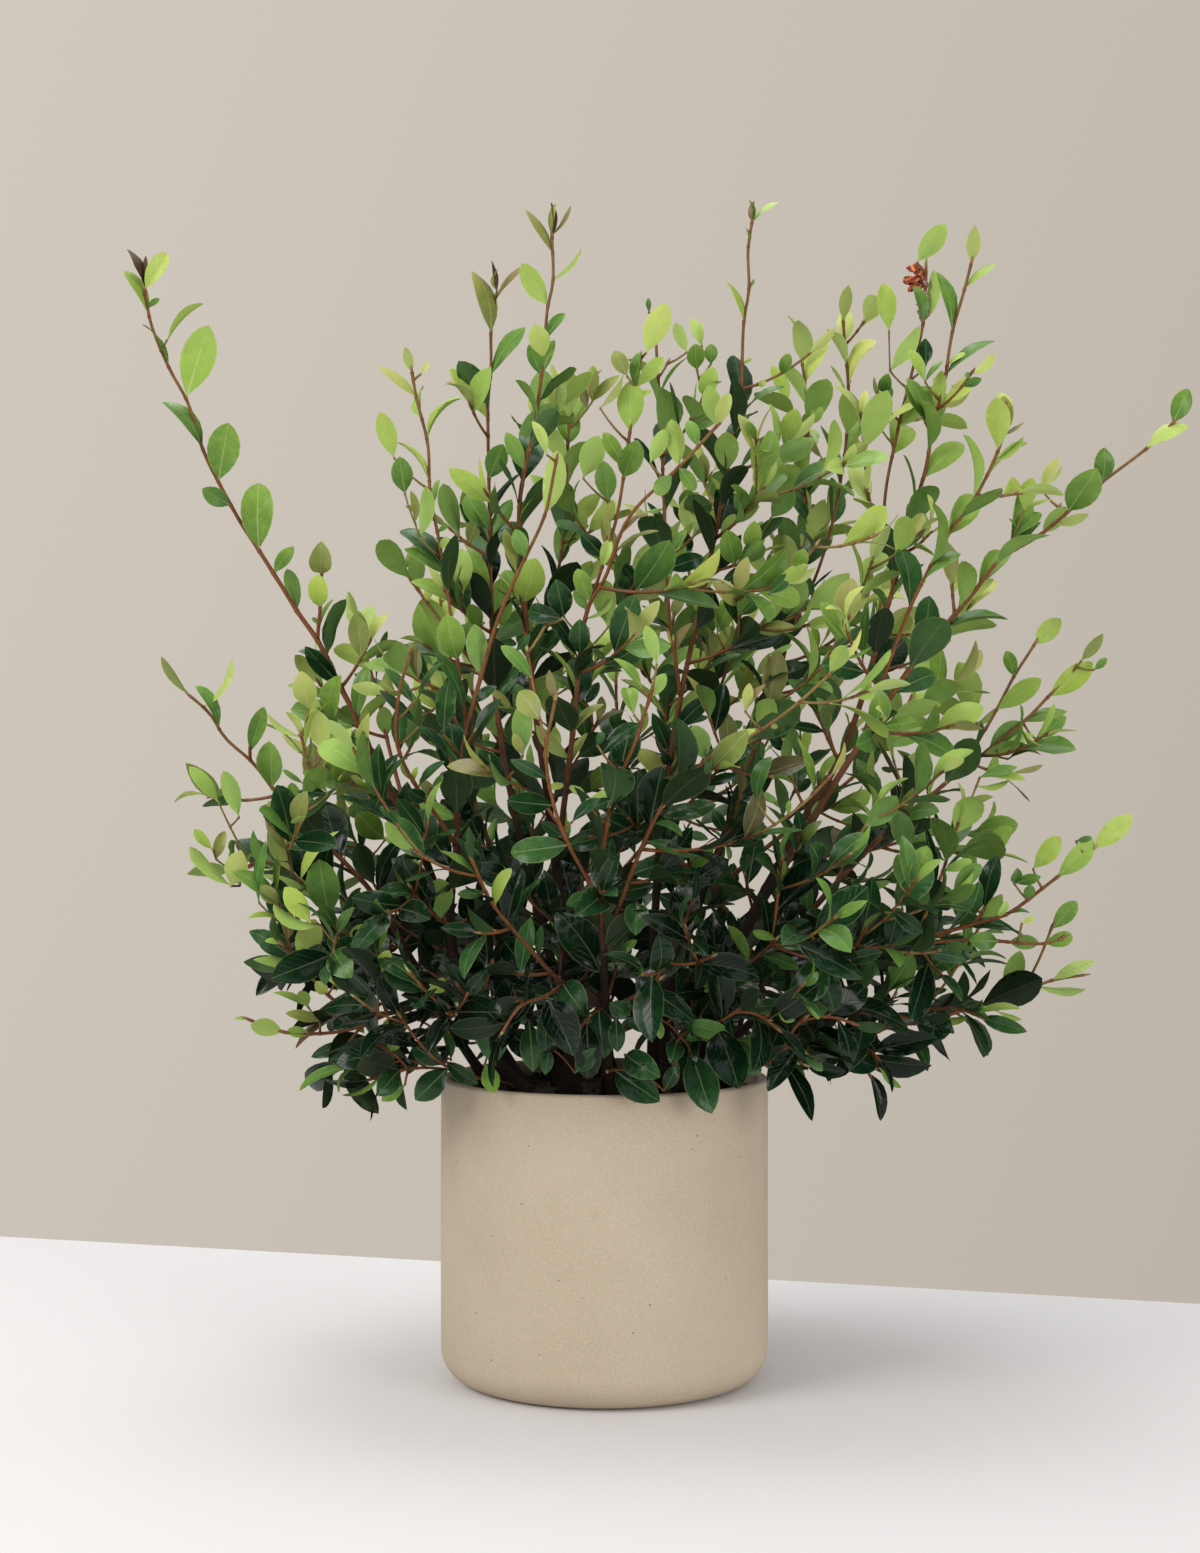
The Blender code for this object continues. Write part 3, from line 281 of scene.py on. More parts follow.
# The soil: a dark moist potting mix that fills the pot to a finger below the lip. Its top is a
# disc raised and lowered by summed waves, with crumbs half sunk in it and bark fibres lying on it.
soil_low, soil_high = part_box("soil")
SOIL_RADIUS = soil_high[0]
SOIL_BELOW_LIP = 0.013
SOIL_TOP = POT_HEIGHT - SOIL_BELOW_LIP
SOIL_FLOOR = soil_low[2]
SOIL_RINGS = 54
SOIL_SIDES = 180
SOIL_RELIEF = 0.0022
SOIL_SUNK = 0.0015
SOIL_WAVES = 12
LONGEST_WAVE = 38.0
WAVE_SHORTENS = 1.32
WAVE_LOWERS = 1.22
CRUMBS = 900
SMALLEST_CRUMB = 0.0009
CRUMB_RANGE = 0.0032
CRUMBS_OFF_WALL = 0.004
FIBRES = 220
SHORTEST_FIBRE = 0.006
FIBRE_RANGE = 0.020
THINNEST_FIBRE = 0.0003
FIBRE_THICKENS = 0.0006
FIBRES_OFF_WALL = 0.016
FIBRE_BEND = 1.6
FIBRE_LIFT = 0.004
MIX_DARK = (0.006, 0.004, 0.003)
MIX_BROWN = (0.026, 0.015, 0.009)
MIX_LIGHT = (0.075, 0.043, 0.024)
MIX_SPOT = (0.12, 0.075, 0.045, 1.0)
LUMPS_A_METRE = 260.0
SPOTS_A_METRE = 1100.0
LUMP_RELIEF = 0.004
UP = np.array([0.0, 0.0, 1.0])
FULL_TURN = 6.28


def unit(vectors):
    """Each vector divided by its length."""
    return vectors / np.linalg.norm(vectors, axis=-1, keepdims=True)


def swung(first, second, angle):
    """Directions swung from the first towards the second:  first cos a + second sin a."""
    return first * np.cos(angle)[..., None] + second * np.sin(angle)[..., None]


def soil_height(x, y):
    """The height of the soil's top: a sum of sine waves in seeded directions, shorter ones lower."""
    draw = np.random.default_rng(5).random((SOIL_WAVES, 3))
    height = np.zeros_like(x)
    for k, (turn, phase, stretch) in enumerate(draw):
        wave = LONGEST_WAVE * WAVE_SHORTENS**k * (0.8 + 0.4 * stretch)
        along = x * math.cos(FULL_TURN * turn) + y * math.sin(FULL_TURN * turn)
        height += np.sin(wave * along + FULL_TURN * phase) / WAVE_LOWERS**k
    return SOIL_TOP + SOIL_RELIEF * height / 2.4 - SOIL_SUNK


def potting_mix():
    """Near-black brown, lighter on its lumps, with small paler spots."""
    material, tree, shader = ready_material("potting_mix", 0.9)
    place = place_on(tree)
    lumps = noise(tree, place, LUMPS_A_METRE, 6.0, 0.7)
    spots = noise(tree, place, SPOTS_A_METRE, 3.0)
    colour = ramp(tree, lumps, ((0.32, MIX_DARK), (0.56, MIX_BROWN), (0.72, MIX_LIGHT)))
    colour = mixed(tree, ramp(tree, spots, ((0.60, grey(0.0)), (0.78, grey(0.6)))), colour, MIX_SPOT)
    tree.links.new(colour, shader.inputs["Base Color"])
    tree.links.new(bumped(tree, lumps, LUMP_RELIEF, 0.8), shader.inputs["Normal"])
    return material


def soil_body():
    """The mix in the pot: a turned body whose top rings follow soil_height."""
    radii = np.linspace(0.0, SOIL_RADIUS, SOIL_RINGS)[1:]
    profile = np.vstack([
        [[0.0, SOIL_TOP]],
        np.stack([radii, np.full(len(radii), SOIL_TOP)], axis=1),
        arc(SOIL_RADIUS - INNER_ROUND, SOIL_FLOOR + INNER_ROUND, INNER_ROUND, 0, -90, 6),
        [[0.0, SOIL_FLOOR]],
    ])
    points, quads, fans = turned(profile, SOIL_SIDES)
    top = points[:, 2] > SOIL_TOP - 0.001
    points[top, 2] = soil_height(points[top, 0], points[top, 1])
    return new_piece("soil_body", points, quads[:, ::-1], fans[:, ::-1])


def crumbs():
    """Lumps: icosahedra dented and stretched by seeded draws, sunk into the soil by about a third.

    An icosahedron's corners are (0, 1, golden) with all signs, in its three cyclic orders. Its
    faces are the sets of three corners that are all one side apart.
    """
    draw = np.random.default_rng(8)
    golden = (1 + 5**0.5) / 2
    corner = np.array([(0, a, b * golden) for a in (-1, 1) for b in (-1, 1)], float)
    corner = unit(np.vstack([corner, corner[:, [1, 2, 0]], corner[:, [2, 0, 1]]]))
    gap = np.linalg.norm(corner[:, None] - corner[None], axis=2)
    side = gap[gap > 0.1].min() * 1.01
    faces = np.array([
        (i, j, k) for i in range(12) for j in range(i + 1, 12) for k in range(j + 1, 12)
        if gap[i, j] < side and gap[j, k] < side and gap[i, k] < side
    ])
    normal = np.cross(corner[faces[:, 1]] - corner[faces[:, 0]], corner[faces[:, 2]] - corner[faces[:, 0]])
    inward = np.einsum("ij,ij->i", normal, corner[faces[:, 0]]) < 0
    faces[inward] = faces[inward][:, ::-1]
    size = SMALLEST_CRUMB + CRUMB_RANGE * draw.random(CRUMBS) ** 3
    shape = size[:, None, None] * (0.62 + 0.38 * draw.random((CRUMBS, 12, 1)))
    lump = corner[None] * shape * (0.6 + 0.7 * draw.random((CRUMBS, 1, 3)))
    turn = FULL_TURN * draw.random(CRUMBS)
    out = (SOIL_RADIUS - CRUMBS_OFF_WALL) * np.sqrt(draw.random(CRUMBS))
    x, y = out * np.cos(turn), out * np.sin(turn)
    centre = np.stack([x, y, soil_height(x, y) + 0.25 * size], axis=1)
    points = (lump + centre[:, None]).reshape(-1, 3)
    faces = (faces[None] + 12 * np.arange(CRUMBS)[:, None, None]).reshape(-1, 3)
    return points, faces


def fibres():
    """The rings of bark slivers: three-sided curved rods along the soil, thinner to both ends.

    s runs from -1/2 to 1/2 along a rod: its heading turns by bend x s, its radius is the thickest
    x root(1 - (2 s)^2), and its front end is lifted off the soil as s^2.
    """
    draw = np.random.default_rng(21)
    turn = FULL_TURN * draw.random(FIBRES)
    out = (SOIL_RADIUS - FIBRES_OFF_WALL) * np.sqrt(draw.random(FIBRES))
    middle = np.stack([out * np.cos(turn), out * np.sin(turn)], axis=1)
    heading = FULL_TURN * draw.random(FIBRES)
    bend = FIBRE_BEND * (draw.random(FIBRES) - 0.5)
    length = SHORTEST_FIBRE + FIBRE_RANGE * draw.random(FIBRES) ** 2
    thick = THINNEST_FIBRE + FIBRE_THICKENS * draw.random(FIBRES)
    s = np.linspace(-0.5, 0.5, 6)
    course = heading[:, None] + bend[:, None] * s
    along = np.stack([np.cos(course), np.sin(course)], axis=2)
    flat = middle[:, None] + along * (length[:, None] * s)[..., None]
    height = soil_height(flat[..., 0], flat[..., 1]) + thick[:, None] * 0.8
    height += (FIBRE_LIFT * draw.random(FIBRES))[:, None] * np.clip(s, 0, 1) ** 2 * 4
    path = np.concatenate([flat, height[..., None]], axis=2)
    beside = np.stack([-along[..., 1], along[..., 0], np.zeros_like(course)], axis=2)
    corner = 2 * np.pi * np.arange(3) / 3
    wide = thick[:, None] * np.sqrt(1.02 - (2 * s) ** 2)
    ring = swung(beside[:, :, None], UP, corner)
    return path[:, :, None] + wide[..., None, None] * ring


def lofted(rings, tips=None):
    """Many like tubes: rings is (tubes, rings, corners, 3), right-handed about each tube's way.

    Each tube's first ring is closed by one face. Its last ring is closed by one, or by a fan to
    its tip if tips, (tubes, 3), is given. The points of a tube are its rings' and then its tip.
    """
    tubes, rows, corners = rings.shape[:3]
    points = rings.reshape(tubes, -1, 3)
    each = rows * corners
    if tips is not None:
        points = np.concatenate([points, tips[:, None]], axis=1)
        each += 1
    start = each * np.arange(tubes)[:, None, None]
    row = corners * np.arange(rows - 1)[None, :, None]
    here = np.arange(corners)
    after = (here + 1) % corners
    quads = np.stack([
        start + row + here, start + row + after, start + row + corners + after, start + row + corners + here
    ], axis=3).reshape(-1, 4)
    start = start[:, :, 0]
    last = start + corners * (rows - 1)
    caps = start + here[::-1]
    if tips is None:
        return points.reshape(-1, 3), [quads, caps, last + here]
    end = np.broadcast_to(start + each - 1, (tubes, corners))
    fans = np.stack([last + here, last + after, end], axis=2).reshape(-1, 3)
    return points.reshape(-1, 3), [quads, caps, fans]


def together(*parts):
    """One set of points and faces from several: each part is (points, list of face arrays)."""
    points, faces, count = [], [], 0
    for part_points, part_faces in parts:
        points.append(part_points)
        faces += [part + count for part in part_faces]
        count += len(part_points)
    return np.vstack(points), faces


mix = potting_mix()
placed(soil_body(), mix, "potting_mix", "soil")
crumb_points, crumb_faces = crumbs()
loose_points, loose_faces = together((crumb_points, [crumb_faces]), lofted(fibres()))
placed(new_piece("soil_crumbs", loose_points, *loose_faces), mix, "potting_mix", "soil")


# The wood: fourteen stems that stand in the soil, red-brown when young and dark and rough when old.
# Each is a set of tubes along routes that were read in the front view, as (across, down)
# pixels of the frame. The rest of its shoots grow by rule to even places in the crown.
STEM_TIP_RADIUS = 0.0014
SHOOT_RADIUS = 0.0016
SHOOT_TIP_RADIUS = 0.0012
TWIG_RADIUS = 0.0011
TWIG_TIP_RADIUS = 0.0008
LEADER_TAPER = 1.9
SHOOT_TAPER = 0.9
NET_STEP = 0.008
BASE_ABOVE_SOIL = 0.006
ROOT_DEPTH = 0.030
EYE = np.array([-0.004, -2.35, 0.551])
EYEWARD = np.array([0.0, -1.0, 0.0])
FRAME_PIXELS = np.array([1200, 1553])
VIEW_MIDDLE = FRAME_PIXELS / 2
FOCAL_PIXELS = 2554.0
CROWN_HEIGHT = (0.29, 0.40, 0.50, 0.60, 0.70, 0.80, 0.88)
CROWN_LEFT = (0.24, 0.32, 0.34, 0.30, 0.22, 0.15, 0.05)
CROWN_RIGHT = (0.26, 0.37, 0.37, 0.37, 0.35, 0.33, 0.27)
CROWN_DEPTH = (0.22, 0.31, 0.35, 0.34, 0.30, 0.24, 0.14)
CORE_RADIUS = 0.11

# Each stem: name, place in the soil, radius there, then its routes from the base out. A route is
# its depth at the tip and the points that it passes. The first is the main stem.
STEMS = (
    ("stem_left_low", (-0.104, -0.030), 0.0048, (
        (-0.04, ((440, 1010), (412, 960), (370, 890), (316, 835), (279, 796), (253, 763), (226, 739),
                 (210, 714), (190, 696))),
        (-0.10, ((424, 985), (399, 975), (362, 948), (329, 915), (293, 875), (262, 862), (236, 872))),
        (-0.12, ((432, 1000), (400, 1012), (362, 1012), (336, 1002), (306, 971), (283, 945))),
        (-0.06, ((390, 1012), (349, 1030), (300, 1034), (276, 1030), (250, 1020))),
    )),
    ("stem_left_long", (-0.078, 0.010), 0.0058, (
        (-0.05, ((462, 980), (440, 900), (412, 830), (379, 772), (362, 729), (342, 690), (319, 643),
                 (299, 614), (279, 582), (260, 552), (241, 523), (220, 485), (203, 450), (188, 403),
                 (169, 368), (151, 324), (145, 290))),
        (-0.06, ((315, 640), (321, 595), (322, 548))),
        (0.06, ((412, 830), (392, 760), (376, 690), (358, 630))),
    )),
    ("stem_orange", (-0.075, -0.062), 0.0062, (
        (-0.14, ((478, 1030), (453, 948), (452, 882), (457, 842), (458, 786), (468, 726), (482, 673),
                 (496, 625), (515, 579), (544, 517), (556, 462))),
        (-0.05, ((468, 726), (449, 602), (439, 541), (430, 491), (428, 445), (417, 401), (412, 372))),
        (-0.20, ((457, 842), (402, 760), (398, 700), (410, 655))),
    )),
    ("stem_upright", (-0.040, 0.030), 0.0056, (
        (0.03, ((560, 1000), (535, 900), (508, 780), (495, 690), (491, 590), (490, 532), (489, 488),
                (488, 432), (488, 403), (491, 368), (491, 330), (495, 300))),
        (0.08, ((495, 690), (440, 620), (404, 570), (392, 548))),
    )),
    ("stem_centre", (-0.032, -0.052), 0.0068, (
        (-0.03, ((572, 1041), (568, 980), (560, 900), (548, 800), (534, 700), (524, 600), (519, 520),
                 (524, 473), (535, 423), (541, 379), (544, 356), (547, 312), (553, 280), (552, 236))),
        (-0.17, ((556, 870), (572, 740), (585, 620), (606, 576), (629, 517), (676, 470), (717, 426))),
        (-0.12, ((594, 600), (616, 520), (629, 438), (640, 360))),
    )),
    ("stem_thin", (0.045, -0.010), 0.0052, (
        (0.05, ((652, 991), (655, 915), (662, 820), (680, 700), (706, 580), (724, 490), (732, 444),
                (741, 403), (742, 362), (744, 321), (749, 288), (748, 250), (752, 222))),
        (-0.02, ((680, 700), (668, 600), (664, 500), (660, 410), (655, 325))),
    )),
    ("stem_right_tall", (0.078, 0.030), 0.0060, (
        (0.00, ((722, 1000), (745, 930), (770, 881), (800, 825), (843, 752), (872, 664), (893, 588),
                (905, 545), (915, 505), (925, 472), (934, 422), (945, 379), (952, 333), (962, 299),
                (971, 264))),
        (0.05, ((893, 588), (884, 510), (900, 420), (922, 330), (926, 266))),
    )),
    ("stem_right_long", (0.070, -0.055), 0.0060, (
        (-0.10, ((705, 1010), (735, 950), (772, 885), (812, 820), (862, 740), (912, 666), (969, 598),
                 (1002, 558), (1043, 533), (1095, 488), (1151, 445), (1172, 424))),
        (-0.16, ((862, 740), (905, 620), (945, 540), (977, 495), (1002, 440), (1006, 408))),
    )),
    ("stem_right_middle", (0.108, 0.004), 0.0050, (
        (-0.02, ((748, 1000), (800, 925), (868, 850), (925, 800), (979, 757), (1021, 724), (1046, 699),
                 (1072, 672))),
        (0.06, ((945, 785), (985, 730), (1012, 680), (1034, 645))),
        (0.12, ((868, 850), (930, 835), (985, 832))),
    )),
    ("stem_right_low", (0.098, -0.046), 0.0048, (
        (-0.07, ((735, 1040), (775, 1004), (825, 975), (896, 946), (986, 921), (1014, 910), (1052, 881),
                 (1092, 850))),
        (-0.12, ((896, 946), (971, 940), (1039, 944), (1062, 938))),
        (0.02, ((790, 998), (860, 1012), (929, 1018), (964, 1010), (1004, 999), (1050, 981),
                (1084, 975))),
    )),
    ("stem_front", (0.004, -0.104), 0.0056, (
        (-0.27, ((606, 1040), (604, 960), (600, 880), (612, 800), (636, 740), (652, 690))),
        (-0.23, ((604, 960), (629, 880), (662, 806), (700, 765), (736, 738))),
        (-0.29, ((600, 900), (562, 830), (546, 760), (555, 700))),
        (-0.22, ((606, 1010), (560, 981), (518, 935), (490, 900), (472, 860))),
    )),
    ("stem_back_left", (-0.050, 0.094), 0.0058, (
        (0.26, ((540, 1000), (510, 900), (470, 790), (446, 690), (440, 590))),
        (0.31, ((510, 900), (430, 840), (365, 790), (330, 730))),
        (0.18, ((470, 790), (530, 680), (560, 560), (568, 440), (572, 380))),
    )),
    ("stem_back_right", (0.056, 0.090), 0.0060, (
        (0.17, ((668, 1000), (700, 900), (745, 780), (785, 650), (804, 520), (808, 420), (800, 345))),
        (0.27, ((700, 900), (800, 820), (880, 750), (930, 660))),
        (0.10, ((785, 650), (828, 540), (848, 420), (843, 320))),
        (0.30, ((745, 780), (710, 680), (690, 580), (686, 500))),
    )),
    ("stem_back", (0.004, 0.118), 0.0052, (
        (0.36, ((606, 990), (612, 880), (622, 780), (616, 690), (622, 610))),
        (0.33, ((610, 900), (556, 850), (500, 810), (470, 760))),
        (0.33, ((612, 880), (670, 820), (740, 780), (780, 720))),
    )),
)

# Tips of side shoots that show round the plant's outline: across, down, and the depth given to each
OUTLINE_TIPS = (
    (165, 664, -0.02), (228, 664, -0.08), (192, 775, -0.02), (200, 848, -0.06), (268, 822, -0.14),
    (243, 1020, -0.02), (262, 962, -0.04), (300, 1078, -0.05), (346, 1074, -0.12), (303, 690, -0.10),
    (350, 622, -0.02), (412, 650, -0.22), (388, 425, -0.02), (392, 552, 0.10), (452, 385, 0.00),
    (566, 378, 0.14), (612, 388, -0.16), (655, 318, -0.04), (692, 326, 0.02), (718, 372, -0.10),
    (792, 362, 0.15), (826, 334, 0.06), (843, 314, 0.12), (886, 292, 0.08), (990, 352, -0.04),
    (962, 384, 0.10), (1050, 466, -0.14), (1078, 486, -0.04), (1048, 628, 0.04), (1096, 642, -0.04),
    (1066, 712, -0.10), (1028, 752, 0.02), (978, 800, -0.12), (1010, 832, 0.04), (1070, 908, -0.02),
    (1090, 966, 0.00), (1010, 1012, -0.08), (896, 1066, -0.08), (828, 1060, -0.16), (447, 1088, -0.15),
    (497, 1078, -0.19), (607, 1078, -0.20), (662, 1082, -0.20), (706, 1090, -0.19), (790, 1062, -0.15),
    (520, 620, -0.24), (745, 690, -0.24), (700, 560, -0.18), (610, 470, -0.10), (560, 560, -0.22),
    (800, 560, -0.18), (860, 600, -0.20), (780, 470, -0.02), (470, 470, -0.08), (360, 700, -0.16),
)

# Boxes of the view where every leaf in sight was read one by one, so that none grows there by rule:
# left, top, right, bottom, and the depth from which the rule goes on behind them
READ_BOXES = (
    (100, 230, 300, 640, 1.0), (300, 530, 340, 650, 1.0), (370, 190, 600, 400, 1.0),
    (370, 420, 450, 560, 1.0), (450, 420, 500, 490, 1.0), (600, 285, 735, 395, 1.0),
    (720, 190, 800, 395, 1.0), (868, 215, 1010, 428, 1.0), (1005, 380, 1200, 545, 1.0),
    (990, 605, 1140, 800, 1.0), (982, 800, 1140, 1030, 1.0), (150, 640, 300, 815, 1.0),
    (180, 815, 270, 1110, 1.0), (270, 985, 330, 1110, 1.0), (430, 1035, 770, 1130, -0.04),
    (450, 400, 820, 640, -0.07), (380, 560, 820, 760, -0.11), (380, 760, 820, 1035, -0.24),
)

